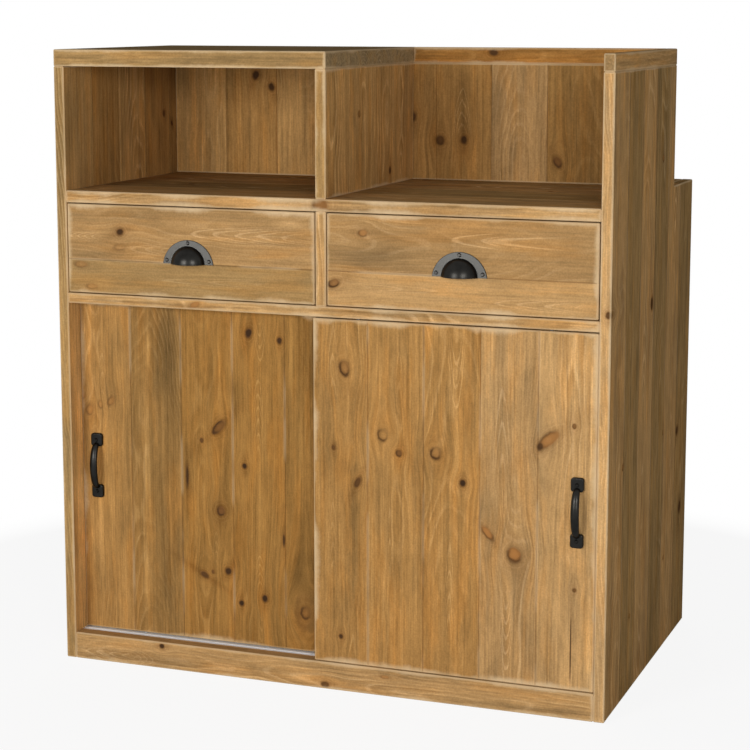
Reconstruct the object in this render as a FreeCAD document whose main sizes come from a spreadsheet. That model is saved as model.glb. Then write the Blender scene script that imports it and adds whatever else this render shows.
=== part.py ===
"""Pine storage counter: open bays over two drawers and a cupboard with two sliding doors.

Millimetres. The front faces -Y, +X runs to the right and +Z up. The origin lies on the floor, under the
middle of the box round the whole cabinet. Expressions below place each piece from the left outer face, the
front plane and the floor, and locate() moves that corner to its place about the origin.
"""
import FreeCAD, Part
import math
import os
import re
import Sketcher

DIMENSIONS = {
    # carcass
    "overall_width": 1000,
    "overall_height": 1095,
    "lower_depth": 620,
    "upper_depth": 460,
    "side_thickness": 19,
    "back_thickness": 19,
    "divider_thickness": 19,
    "top_thickness": 29,
    "shelf_thickness": 21,
    "shelf_top": 850,
    "drawer_opening_height": 160,
    "drawer_rail_thickness": 18,
    "drawer_rail_margin": 14,
    "bottom_rail_height": 48,
    "bottom_rail_thickness": 26,
    "deck_thickness": 19,
    "cleat_width": 19,
    "cleat_height": 19,
    "cleat_setback": 12,
    "inner_shelf_thickness": 19,
    "inner_shelf_rise": 310,
    "runner_width": 30,
    # boards and their worn edges
    "edge_ease": 1.5,
    "side_board": 103,
    "back_board": 107,
    "shelf_board": 124,
    "top_board_width": 115,
    "divider_board": 110,
    "seam_width": 2.4,
    "seam_depth": 1.2,
    # drawers
    "drawer_gap": 2,
    "drawer_front_thickness": 20,
    "drawer_front_lower_board": 59,
    "drawer_wall_thickness": 14,
    "drawer_wall_height": 130,
    "drawer_back_height": 100,
    "drawer_side_clearance": 3,
    "drawer_rear_gap": 100,
    "drawer_stop_length": 24,
    "drawer_stop_height": 20,
    "drawer_bottom_thickness": 6,
    "drawer_bottom_rise": 12,
    "drawer_groove_depth": 6,
    "groove_clearance": 0.2,
    "running_clearance": 0.3,
    # cup pulls
    "cup_flange_radius": 48,
    "cup_flange_drop": 6.5,
    "cup_flange_thickness": 2,
    "cup_flange_bevel": 0.7,
    "cup_radius": 31.5,
    "cup_shoulder": 17,
    "cup_projection": 24,
    "cup_wall": 2,
    "cup_ear_inset": 8,
    "cup_ear_rise": 6,
    # doors
    "door_thickness": 14,
    "front_door_setback": 1.5,
    "passing_clearance": 1.5,
    "door_overlap": 30,
    "jamb_gap": 0.5,
    "door_foot_gap": 1.5,
    "door_head_gap": 2.5,
    # bow pulls
    "pull_length": 118,
    "pull_pad_width": 22,
    "pull_pad_length": 24,
    "pull_pad_thickness": 6,
    "pull_pad_corner": 5,
    "pull_pad_round": 2.2,
    "pull_projection": 22.5,
    "pull_bar_width": 14,
    "pull_bar_thickness": 8.4,
    "pull_neck_width": 10,
    "pull_bow_span": 78,
    "pull_edge_inset": 31,
    "pull_height": 352,
    # door track, glides and guide pins
    "track_height": 8,
    "track_lip": 2.5,
    "track_rear_lip": 7,
    "track_groove_width": 5,
    "track_groove_depth": 5.5,
    "glide_side_clearance": 0.5,
    "glide_length": 40,
    "glide_seat": 10,
    "glide_inset": 60,
    "bracket_thickness": 2,
    "bracket_height": 42,
    "bracket_reach_past_glide": 2.5,
    "guide_pin_diameter": 7,
    "guide_pin_seat": 14,
    "guide_pin_engagement": 5.5,
    "guide_side_clearance": 0.5,
    "guide_top_clearance": 3.5,
    # screws
    "screw_shank_diameter": 3.5,
    "screw_clearance": 0.1,
    "screw_head_diameter": 7,
    "screw_head_crown": 4,
    "screw_head_height": 2.4,
    "screw_bite": 9,
    "screw_drive_depth": 1.2,
    "screw_drive_width": 1.1,
    "track_screw_inset": 120,
}

# counts
DOOR_BOARDS = 5
BOW_SECTIONS = 9
TRACK_SCREWS = 4

# how far round its axis half a cup is turned, in degrees
HALF_TURN = 180

# the smallest share of a board's width that is left as a board of its own at the end of a panel
LEAST_BOARD = 0.25
# how near two places count as one, in millimetres
SAME_PLACE = 1e-6

# Places worked out from the dimensions, each an expression
OPENING_WIDTH = "(overall_width - 2 * side_thickness)"
RIGHT_INNER = "(overall_width - side_thickness)"
DIVIDER_LEFT = "((overall_width - divider_thickness) / 2)"
DIVIDER_RIGHT = "((overall_width + divider_thickness) / 2)"
TOP_UNDERSIDE = "(overall_height - top_thickness)"
UPPER_WALL_HEIGHT = f"({TOP_UNDERSIDE} - shelf_top)"
UPPER_BACK_FACE = "(upper_depth - back_thickness)"
LOWER_BACK_FACE = "(lower_depth - back_thickness)"
SHELF_UNDERSIDE = "(shelf_top - shelf_thickness)"
RAIL_TOP = f"({SHELF_UNDERSIDE} - drawer_opening_height)"
RAIL_UNDERSIDE = f"({RAIL_TOP} - drawer_rail_thickness)"
DECK_TOP = "(bottom_rail_height - track_height)"
DECK_UNDERSIDE = f"({DECK_TOP} - deck_thickness)"
DRAWER_OPENING = f"({DIVIDER_LEFT} - side_thickness)"
DRAWER_REAR = f"({LOWER_BACK_FACE} - drawer_rear_gap)"

REAR_DOOR_SETBACK = "(front_door_setback + door_thickness + pull_projection + passing_clearance)"
RAIL_DEPTH = f"({REAR_DOOR_SETBACK} + door_thickness + drawer_rail_margin)"
FRONT_DOOR_LINE = "(front_door_setback + door_thickness / 2)"
REAR_DOOR_LINE = f"({REAR_DOOR_SETBACK} + door_thickness / 2)"
DOOR_WIDTH = f"(({OPENING_WIDTH} + door_overlap) / 2 - jamb_gap)"
DOOR_FOOT = "(bottom_rail_height + door_foot_gap)"
DOOR_HEIGHT = f"({RAIL_UNDERSIDE} - door_head_gap - {DOOR_FOOT})"
LEFT_DOOR_EDGE = "(side_thickness + jamb_gap)"
RIGHT_DOOR_EDGE = f"({RIGHT_INNER} - jamb_gap - {DOOR_WIDTH})"
DOOR_BOARD = f"({DOOR_WIDTH} / {DOOR_BOARDS})"

FRONT_GROOVE_LINE = "(bottom_rail_thickness + track_lip + track_groove_width / 2)"
TRACK_LAND = f"(({FRONT_GROOVE_LINE} + {REAR_DOOR_LINE}) / 2)"
TRACK_REAR = f"({REAR_DOOR_LINE} + track_groove_width / 2 + track_rear_lip)"
TRACK_FLOOR = "(track_height - track_groove_depth)"
GLIDE_THICKNESS = "(track_groove_width - 2 * glide_side_clearance)"
GLIDE_FOOT = "(bottom_rail_height - track_groove_depth + running_clearance)"
GUIDE_GROOVE_WIDTH = "(guide_pin_diameter + 2 * guide_side_clearance)"
GUIDE_GROOVE_DEPTH = "(guide_pin_engagement + guide_top_clearance)"

PULL_SCREW_SPACING = "(pull_length - pull_pad_length)"
PULL_RISE = "(pull_height - pull_length / 2)"
BOW_RISE = "(pull_projection - pull_bar_thickness / 2 - pull_pad_thickness / 2)"
SCREW_RADIUS = "(screw_shank_diameter / 2)"
PILOT_RADIUS = "(screw_shank_diameter / 2 + screw_clearance)"
HEAD_RADIUS = "(screw_head_diameter / 2)"
HEAD_SEAT_RADIUS = "(screw_head_diameter / 2 + screw_clearance)"
HEAD_SEAT_DEPTH = "(screw_head_height + screw_clearance)"
CUP_FLANGE_RISE = "(cup_flange_radius - cup_flange_drop)"

doc = FreeCAD.newDocument("storage_counter")
dims = doc.addObject("Spreadsheet::Sheet", "dims")
for row, (alias, number) in enumerate(DIMENSIONS.items(), start=1):
    dims.set(f"A{row}", alias)
    dims.set(f"B{row}", str(number))
    dims.setAlias(f"B{row}", alias)
doc.recompute()

pieces = []


def sized(text):
    """An expression over the sheet's aliases, as the document reads it."""
    return re.sub(r"[a-z][a-z_]*", lambda word: "dims." + word.group(0), text)


def value(text):
    """The number that an expression has now."""
    return float(dims.evalExpression(sized(text)))


def locate(piece, x, y, z):
    """Place a piece by its corner, counted from the left outer face, the front plane and the floor."""
    piece.setExpression("Placement.Base.x", sized(f"{x} - overall_width / 2"))
    piece.setExpression("Placement.Base.y", sized(f"{y} - (lower_depth - cup_projection) / 2"))
    piece.setExpression("Placement.Base.z", sized(z))


def keep(piece, label):
    """Count an object as one of the cabinet's pieces, under its own label."""
    piece.Label = label
    pieces.append(piece)
    return piece


def new_body(label, x, y, z):
    """An empty body whose corner is placed in the cabinet."""
    body = keep(doc.addObject("PartDesign::Body", label), label)
    locate(body, x, y, z)
    return body


def origin_feature(body, role):
    """A plane or an axis of the body's own origin."""
    return next(feature for feature in body.Origin.OriginFeatures if feature.Role == role)


def blank_sketch(body, name, role):
    """An empty sketch on a plane of the body."""
    sketch = body.newObject("Sketcher::SketchObject", name)
    sketch.AttachmentSupport = [(origin_feature(body, role), "")]
    sketch.MapMode = "FlatFace"
    return sketch


def hold(sketch, text, kind, *target):
    """Hold one of a sketch's lengths to an expression."""
    held = sketch.addConstraint(Sketcher.Constraint(kind, *target, value(text)))
    sketch.setExpression(f"Constraints[{held}]", sized(text))


def outline(body, name, role, loops, lift="0"):
    """A sketch of closed straight outlines, each corner held by two expressions."""
    sketch = blank_sketch(body, name, role)
    sketch.setExpression("AttachmentOffset.Base.z", sized(lift))
    for corners in loops:
        spots = [FreeCAD.Vector(value(u), value(v), 0) for u, v in corners]
        first = sketch.GeometryCount
        for index, spot in enumerate(spots):
            sketch.addGeometry(Part.LineSegment(spot, spots[(index + 1) % len(spots)]), False)
        for index, (u, v) in enumerate(corners):
            line = first + index
            before = first + (index - 1) % len(corners)
            sketch.addConstraint(Sketcher.Constraint("Coincident", before, 2, line, 1))
            hold(sketch, u, "DistanceX", -1, 1, line, 1)
            hold(sketch, v, "DistanceY", -1, 1, line, 1)
    return sketch


def circles(body, name, role, spots, radius, lift="0"):
    """A sketch of circles of one radius, each centre held by two expressions."""
    sketch = blank_sketch(body, name, role)
    sketch.setExpression("AttachmentOffset.Base.z", sized(lift))
    for u, v in spots:
        centre = FreeCAD.Vector(value(u), value(v), 0)
        ring = sketch.addGeometry(Part.Circle(centre, FreeCAD.Vector(0, 0, 1), value(radius)), False)
        hold(sketch, u, "DistanceX", -1, 1, ring, 3)
        hold(sketch, v, "DistanceY", -1, 1, ring, 3)
        hold(sketch, radius, "Radius", ring)
    return sketch


def rectangle(width, height, left="0", bottom="0"):
    """The four corners of an upright rectangle."""
    right = f"{left} + {width}"
    top = f"{bottom} + {height}"
    return [(left, bottom), (right, bottom), (right, top), (left, top)]


def pad(body, name, sketch, length, reverse=False):
    """Extrude a sketch of the body."""
    feature = body.newObject("PartDesign::Pad", name)
    feature.Profile = sketch
    feature.setExpression("Length", sized(length))
    feature.Reversed = reverse
    doc.recompute()
    return feature


def cut(body, name, sketch, depth=None, reverse=False):
    """Cut a sketch out of the body, through all of it or to a depth, and make sure that something went."""
    before = body.Shape.Volume
    feature = body.newObject("PartDesign::Pocket", name)
    feature.Profile = sketch
    feature.Reversed = reverse
    if depth is None:
        feature.Type = "ThroughAll"
    else:
        feature.setExpression("Length", sized(depth))
    doc.recompute()
    if not feature.Shape.Volume < before:
        raise RuntimeError(f"{body.Label}: {name} removes nothing")
    return feature


def ease(body, feature):
    """Break every edge of the board as wear and sanding do."""
    eased = body.newObject("PartDesign::Chamfer", "eased_edges")
    eased.Base = (feature, [""])
    eased.UseAllEdges = True
    eased.setExpression("Size", sized("edge_ease"))
    doc.recompute()
    return eased


def repeat(body, name, feature, role, pitch, count):
    """Repeat a cut along an axis of the body."""
    row_of_cuts = body.newObject("PartDesign::LinearPattern", name)
    row_of_cuts.Originals = [feature]
    row_of_cuts.Direction = (origin_feature(body, role), [""])
    row_of_cuts.Mode = "Spacing"
    row_of_cuts.setExpression("Offset", sized(pitch))
    row_of_cuts.Occurrences = count
    body.Tip = row_of_cuts
    doc.recompute()
    return row_of_cuts


def seam_count(extent, pitch):
    """How many seams lie between boards of one width across an extent."""
    return max(1, math.ceil(value(extent) / value(pitch) - LEAST_BOARD) - 1)


def board(label, corner, extent):
    """A plain board with eased edges."""
    width, depth, height = extent
    body = new_body(label, *corner)
    ease(body, pad(body, "stock", outline(body, "plan", "XY_Plane", [rectangle(width, depth)]), height))
    return body


def vee_pair_across(thickness, pitch):
    """Two V notches facing each other through a thickness along sketch x, one board up along sketch y."""
    near = [("0", f"{pitch} - seam_width / 2"), ("seam_depth", pitch), ("0", f"{pitch} + seam_width / 2")]
    far = [(thickness, f"{pitch} - seam_width / 2"), (thickness, f"{pitch} + seam_width / 2"),
           (f"{thickness} - seam_depth", pitch)]
    return [near, far]


def flipped(loops):
    """The same outlines with the sketch axes exchanged."""
    return [[(v, u) for u, v in reversed(corners)] for corners in loops]


def upright_seams(body, thickness, extent, pitch, along):
    """V seams between upright boards, on both faces of a panel that is thin along X or along Y."""
    loops = vee_pair_across(thickness, pitch)
    if along == "X_Axis":
        loops = flipped(loops)
    seam = cut(body, "seam", outline(body, "seam_vee", "XY_Plane", loops), reverse=True)
    repeat(body, "seams", seam, along, pitch, seam_count(extent, pitch))


def level_seams(body, thickness, extent, pitch):
    """V seams between boards that lie side by side and run along X, on both faces of a level panel."""
    loops = flipped(vee_pair_across(thickness, pitch))
    seam = cut(body, "seam", outline(body, "seam_vee", "YZ_Plane", loops), reverse=True)
    repeat(body, "seams", seam, "Y_Axis", pitch, seam_count(extent, pitch))


def side_panels():
    """Side panels of upright boards, stepped back above the counter shelf."""
    step = [("0", "0"), ("lower_depth", "0"), ("lower_depth", "shelf_top"), ("upper_depth", "shelf_top"),
            ("upper_depth", TOP_UNDERSIDE), ("0", TOP_UNDERSIDE)]
    for label, x in (("left_side_panel", "0"), ("right_side_panel", RIGHT_INNER)):
        body = new_body(label, x, "0", "0")
        ease(body, pad(body, "stock", outline(body, "stepped_outline", "YZ_Plane", [step]), "side_thickness"))
        upright_seams(body, "side_thickness", "lower_depth", "side_board", "Y_Axis")


def upper_carcass():
    """Top board, cap rails, upper back and divider round the two open bays."""
    top = board("top_board", ("0", "0", TOP_UNDERSIDE), (DIVIDER_RIGHT, "upper_depth", "top_thickness"))
    level_seams(top, "top_thickness", "upper_depth", "top_board_width")
    board("right_cap_rail", (RIGHT_INNER, "0", TOP_UNDERSIDE),
          ("side_thickness", "upper_depth", "top_thickness"))
    board("back_cap_rail", (DIVIDER_RIGHT, UPPER_BACK_FACE, TOP_UNDERSIDE),
          (f"{RIGHT_INNER} - {DIVIDER_RIGHT}", "back_thickness", "top_thickness"))
    back = board("upper_back_panel", ("side_thickness", UPPER_BACK_FACE, "shelf_top"),
                 (OPENING_WIDTH, "back_thickness", UPPER_WALL_HEIGHT))
    upright_seams(back, "back_thickness", OPENING_WIDTH, "back_board", "X_Axis")
    divider = board("upper_divider", (DIVIDER_LEFT, "0", "shelf_top"),
                    ("divider_thickness", UPPER_BACK_FACE, UPPER_WALL_HEIGHT))
    upright_seams(divider, "divider_thickness", UPPER_BACK_FACE, "divider_board", "Y_Axis")


def lower_carcass():
    """Counter shelf, drawer frame, bottom rail, deck, back and inner shelf."""
    shelf = board("counter_shelf", ("side_thickness", "0", SHELF_UNDERSIDE),
                  (OPENING_WIDTH, "lower_depth", "shelf_thickness"))
    level_seams(shelf, "shelf_thickness", "lower_depth", "shelf_board")
    board("drawer_divider", (DIVIDER_LEFT, "0", RAIL_TOP),
          ("divider_thickness", LOWER_BACK_FACE, "drawer_opening_height"))
    drawer_rail()
    runner_run = f"{LOWER_BACK_FACE} - {RAIL_DEPTH}"
    centre_runner_width = "(divider_thickness + 2 * runner_width)"
    for label, x, width in (("left_drawer_runner", "side_thickness", "runner_width"),
                            ("centre_drawer_runner", f"{DIVIDER_LEFT} - runner_width", centre_runner_width),
                            ("right_drawer_runner", f"{RIGHT_INNER} - runner_width", "runner_width")):
        board(label, (x, RAIL_DEPTH, RAIL_UNDERSIDE), (width, runner_run, "drawer_rail_thickness"))
    drawer_stops()
    board("bottom_rail", ("side_thickness", "0", "0"),
          (OPENING_WIDTH, "bottom_rail_thickness", "bottom_rail_height"))
    deck()
    back = board("lower_back_panel", ("side_thickness", LOWER_BACK_FACE, "0"),
                 (OPENING_WIDTH, "back_thickness", SHELF_UNDERSIDE))
    upright_seams(back, "back_thickness", OPENING_WIDTH, "back_board", "X_Axis")
    shelf_front = f"({RAIL_DEPTH} + cleat_setback)"
    shelf_height = f"({DECK_TOP} + inner_shelf_rise)"
    board("inner_shelf", ("side_thickness", shelf_front, shelf_height),
          (OPENING_WIDTH, f"{LOWER_BACK_FACE} - {shelf_front}", "inner_shelf_thickness"))
    for label, x in (("left_shelf_cleat", "side_thickness"),
                     ("right_shelf_cleat", f"{RIGHT_INNER} - cleat_width")):
        board(label, (x, f"{shelf_front} + cleat_setback", f"{shelf_height} - cleat_height"),
              ("cleat_width", f"{LOWER_BACK_FACE} - {shelf_front} - 2 * cleat_setback", "cleat_height"))


def drawer_rail():
    """Rail between drawers and doors, with a groove in its underside for each door's guide pins."""
    body = board("drawer_rail", ("side_thickness", "0", RAIL_UNDERSIDE),
                 (OPENING_WIDTH, RAIL_DEPTH, "drawer_rail_thickness"))
    grooves = [rectangle(GUIDE_GROOVE_WIDTH, GUIDE_GROOVE_DEPTH, f"{line} - {GUIDE_GROOVE_WIDTH} / 2")
               for line in (FRONT_DOOR_LINE, REAR_DOOR_LINE)]
    cut(body, "guide_grooves", outline(body, "groove_section", "YZ_Plane", grooves), reverse=True)


def drawer_wall_places(x):
    """Left faces of a drawer's two side walls, for the drawer in the opening that starts at x."""
    return [f"({x} + drawer_side_clearance)",
            f"({x} + {DRAWER_OPENING} - drawer_side_clearance - drawer_wall_thickness)"]


def drawer_stops():
    """Blocks on the runners, one behind each drawer wall, that stop the drawers flush with the frame."""
    group = []
    for x in drawer_wall_places("side_thickness") + drawer_wall_places(DIVIDER_RIGHT):
        block = doc.addObject("Part::Box", f"drawer_stop_{len(group) + 1}")
        block.setExpression("Length", sized("drawer_wall_thickness"))
        block.setExpression("Width", sized("drawer_stop_length"))
        block.setExpression("Height", sized("drawer_stop_height"))
        locate(block, x, f"{DRAWER_REAR} + running_clearance", RAIL_TOP)
        group.append(block)
    stops = keep(doc.addObject("Part::Compound", "drawer_stop_blocks"), "drawer_stops")
    stops.Links = group
    doc.recompute()


def track_screw_spots(across):
    """Where the track's screws go, counted from the track's own corner."""
    step = f"({OPENING_WIDTH} - 2 * track_screw_inset) / {TRACK_SCREWS - 1}"
    return [(f"track_screw_inset + {index} * {step}", across) for index in range(TRACK_SCREWS)]


def deck():
    """Bottom panel behind the bottom rail, drilled for the track's screws, and the cleats that carry it."""
    body = board("bottom_panel", ("side_thickness", "bottom_rail_thickness", DECK_UNDERSIDE),
                 (OPENING_WIDTH, f"{LOWER_BACK_FACE} - bottom_rail_thickness", "deck_thickness"))
    spots = track_screw_spots(f"{TRACK_LAND} - bottom_rail_thickness")
    cut(body, "pilot_holes", circles(body, "pilot_spots", "XY_Plane", spots, PILOT_RADIUS, "deck_thickness"),
        "screw_bite + screw_clearance")
    for label, x in (("left_deck_cleat", "side_thickness"),
                     ("right_deck_cleat", f"{RIGHT_INNER} - cleat_width")):
        board(label, (x, "bottom_rail_thickness", f"{DECK_UNDERSIDE} - cleat_height"),
              ("cleat_width", f"{LOWER_BACK_FACE} - bottom_rail_thickness", "cleat_height"))


def door_track():
    """Aluminium track with a groove for each door, let in flush behind the bottom rail.

    Its screws' heads are sunk, so that the doors pass close above it.
    """
    body = new_body("door_track", "side_thickness", "bottom_rail_thickness", DECK_TOP)
    front = f"({FRONT_GROOVE_LINE} - bottom_rail_thickness - track_groove_width / 2)"
    rear = f"({REAR_DOOR_LINE} - bottom_rail_thickness - track_groove_width / 2)"
    end = f"({TRACK_REAR} - bottom_rail_thickness)"
    section = [("0", "0"), (end, "0"), (end, "track_height")]
    for left in (rear, front):
        right = f"({left} + track_groove_width)"
        section += [(right, "track_height"), (right, TRACK_FLOOR),
                    (left, TRACK_FLOOR), (left, "track_height")]
    section += [("0", "track_height")]
    pad(body, "profile", outline(body, "track_section", "YZ_Plane", [section]), OPENING_WIDTH)
    spots = track_screw_spots(f"{TRACK_LAND} - bottom_rail_thickness")
    cut(body, "screw_holes", circles(body, "hole_spots", "XY_Plane", spots, PILOT_RADIUS), reverse=True)
    cut(body, "head_seats", circles(body, "seat_spots", "XY_Plane", spots, HEAD_SEAT_RADIUS, "track_height"),
        HEAD_SEAT_DEPTH)


def screw_group(label, spots, direction, grip):
    """A group of round-headed slotted screws.

    Each spot is the middle of a head's underside. The shank runs along direction, through grip and into the
    wood.
    """
    turn = {"+Y": (FreeCAD.Vector(1, 0, 0), -90), "-Z": (FreeCAD.Vector(1, 0, 0), 180),
            "-Y": (FreeCAD.Vector(1, 0, 0), 90)}[direction]
    screws = []
    for index, spot in enumerate(spots):
        name = f"{label}_{index + 1}"
        shank = doc.addObject("Part::Cylinder", f"{name}_shank")
        shank.setExpression("Radius", sized(SCREW_RADIUS))
        shank.setExpression("Height", sized(f"{grip} + screw_bite"))
        head = doc.addObject("Part::Cone", f"{name}_head")
        head.setExpression("Radius1", sized("screw_head_crown / 2"))
        head.setExpression("Radius2", sized(HEAD_RADIUS))
        head.setExpression("Height", sized("screw_head_height"))
        head.setExpression("Placement.Base.z", sized("-screw_head_height"))
        drive = doc.addObject("Part::Box", f"{name}_drive")
        drive.setExpression("Length", sized("screw_head_diameter"))
        drive.setExpression("Width", sized("screw_drive_width"))
        drive.setExpression("Height", sized("screw_drive_depth"))
        drive.setExpression("Placement.Base.x", sized(f"-{HEAD_RADIUS}"))
        drive.setExpression("Placement.Base.y", sized("-screw_drive_width / 2"))
        drive.setExpression("Placement.Base.z", sized("-screw_head_height"))
        slotted = doc.addObject("Part::Cut", f"{name}_slotted")
        slotted.Base = head
        slotted.Tool = drive
        screw = doc.addObject("Part::Fuse", name)
        screw.Base = slotted
        screw.Tool = shank
        screw.Placement = FreeCAD.Placement(FreeCAD.Vector(), FreeCAD.Rotation(*turn))
        locate(screw, *spot)
        screws.append(screw)
    group = keep(doc.addObject("Part::Compound", label), label)
    group.Links = screws
    doc.recompute()


def track_screws():
    """Screws that hold the track down on the deck."""
    spots = [(f"side_thickness + {x}", y, f"bottom_rail_height - {HEAD_SEAT_DEPTH}")
             for x, y in track_screw_spots(TRACK_LAND)]
    screw_group("track_screws", spots, "-Z", f"(track_height - {HEAD_SEAT_DEPTH})")


def cup_screw_spots():
    """Screw places on a cup pull, from the middle of its base line: top of the flange and both lower ends."""
    ear = "(cup_flange_radius - cup_ear_inset)"
    crown = f"(({CUP_FLANGE_RISE} + cup_radius) / 2)"
    return [("0", crown), (f"-{ear}", "cup_ear_rise"), (ear, "cup_ear_rise")]


def half_round(body, name):
    """Half-round outline of a cup's flange, its straight side on the base line."""
    sketch = blank_sketch(body, name, "XZ_Plane")
    radius, drop = value("cup_flange_radius"), value("cup_flange_drop")
    low = math.asin(drop / radius)
    circle = Part.Circle(FreeCAD.Vector(0, -drop, 0), FreeCAD.Vector(0, 0, 1), radius)
    rim = sketch.addGeometry(Part.ArcOfCircle(circle, low, math.pi - low), False)
    reach = FreeCAD.Vector(radius * math.cos(low), 0, 0)
    base = sketch.addGeometry(Part.LineSegment(-reach, reach), False)
    sketch.addConstraint([
        Sketcher.Constraint("PointOnObject", rim, 3, -2), Sketcher.Constraint("PointOnObject", rim, 1, -1),
        Sketcher.Constraint("PointOnObject", rim, 2, -1), Sketcher.Constraint("Coincident", base, 1, rim, 2),
        Sketcher.Constraint("Coincident", base, 2, rim, 1)])
    hold(sketch, "-cup_flange_drop", "DistanceY", -1, 1, rim, 3)
    hold(sketch, "cup_flange_radius", "Radius", rim)
    return sketch


def cup_section(body, name, trim):
    """Half section of a cup: a tight shoulder on the wood that runs smoothly into a flatter face."""
    sketch = blank_sketch(body, name, "XY_Plane")
    radius = value(f"cup_radius - {trim}")
    depth = value(f"cup_projection - {trim}")
    shoulder = value(f"cup_shoulder - {trim}")
    face = (radius * (radius - 2 * shoulder) + depth * depth) / (2 * (depth - shoulder))
    turn = math.atan2(depth - face, radius - shoulder)
    up = FreeCAD.Vector(0, 0, 1)
    flat = Part.Circle(FreeCAD.Vector(0, face - depth, 0), up, face)
    tight = Part.Circle(FreeCAD.Vector(radius - shoulder, 0, 0), up, shoulder)
    front = sketch.addGeometry(Part.ArcOfCircle(flat, -math.pi / 2, turn), False)
    side = sketch.addGeometry(Part.ArcOfCircle(tight, turn, 0), False)
    middle = FreeCAD.Vector()
    base = sketch.addGeometry(Part.LineSegment(FreeCAD.Vector(radius, 0, 0), middle), False)
    axis = sketch.addGeometry(Part.LineSegment(middle, FreeCAD.Vector(0, -depth, 0)), False)
    sketch.addConstraint([
        Sketcher.Constraint("Coincident", base, 1, side, 2),
        Sketcher.Constraint("Coincident", base, 2, -1, 1),
        Sketcher.Constraint("Coincident", axis, 1, -1, 1),
        Sketcher.Constraint("Coincident", axis, 2, front, 1),
        Sketcher.Constraint("Horizontal", base), Sketcher.Constraint("Vertical", axis),
        Sketcher.Constraint("PointOnObject", side, 3, -1),
        Sketcher.Constraint("PointOnObject", front, 3, -2),
        Sketcher.Constraint("Tangent", front, 2, side, 1)])
    hold(sketch, f"cup_radius - {trim}", "DistanceX", -1, 1, base, 1)
    hold(sketch, f"-(cup_projection - {trim})", "DistanceY", -1, 1, front, 1)
    hold(sketch, f"cup_shoulder - {trim}", "Radius", side)
    return sketch


def cup_pull(label, x, z):
    """Half-moon cup pull: a thin domed shell, open below, on a half-round flange with a bevelled rim."""
    body = new_body(label, x, "0", z)
    flange = pad(body, "flange", half_round(body, "flange_outline"), "cup_flange_thickness")
    rims = [f"Edge{number}" for number, edge in enumerate(flange.Shape.Edges, start=1)
            if isinstance(edge.Curve, Part.Circle)
            and abs(edge.CenterOfMass.y + value("cup_flange_thickness")) < SAME_PLACE]
    bevel = body.newObject("PartDesign::Chamfer", "bevelled_rim")
    bevel.Base = (flange, rims)
    bevel.setExpression("Size", sized("cup_flange_bevel"))
    doc.recompute()
    for kind, name, trim in (("PartDesign::Revolution", "dome", "0"),
                             ("PartDesign::Groove", "hollow", "cup_wall")):
        turned = body.newObject(kind, name)
        turned.Profile = cup_section(body, f"{name}_section", trim)
        turned.ReferenceAxis = (origin_feature(body, "Y_Axis"), [""])
        turned.Angle = HALF_TURN
        turned.Reversed = True
        doc.recompute()
    cut(body, "screw_holes", circles(body, "hole_spots", "XZ_Plane", cup_screw_spots(), PILOT_RADIUS),
        reverse=True)


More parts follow.
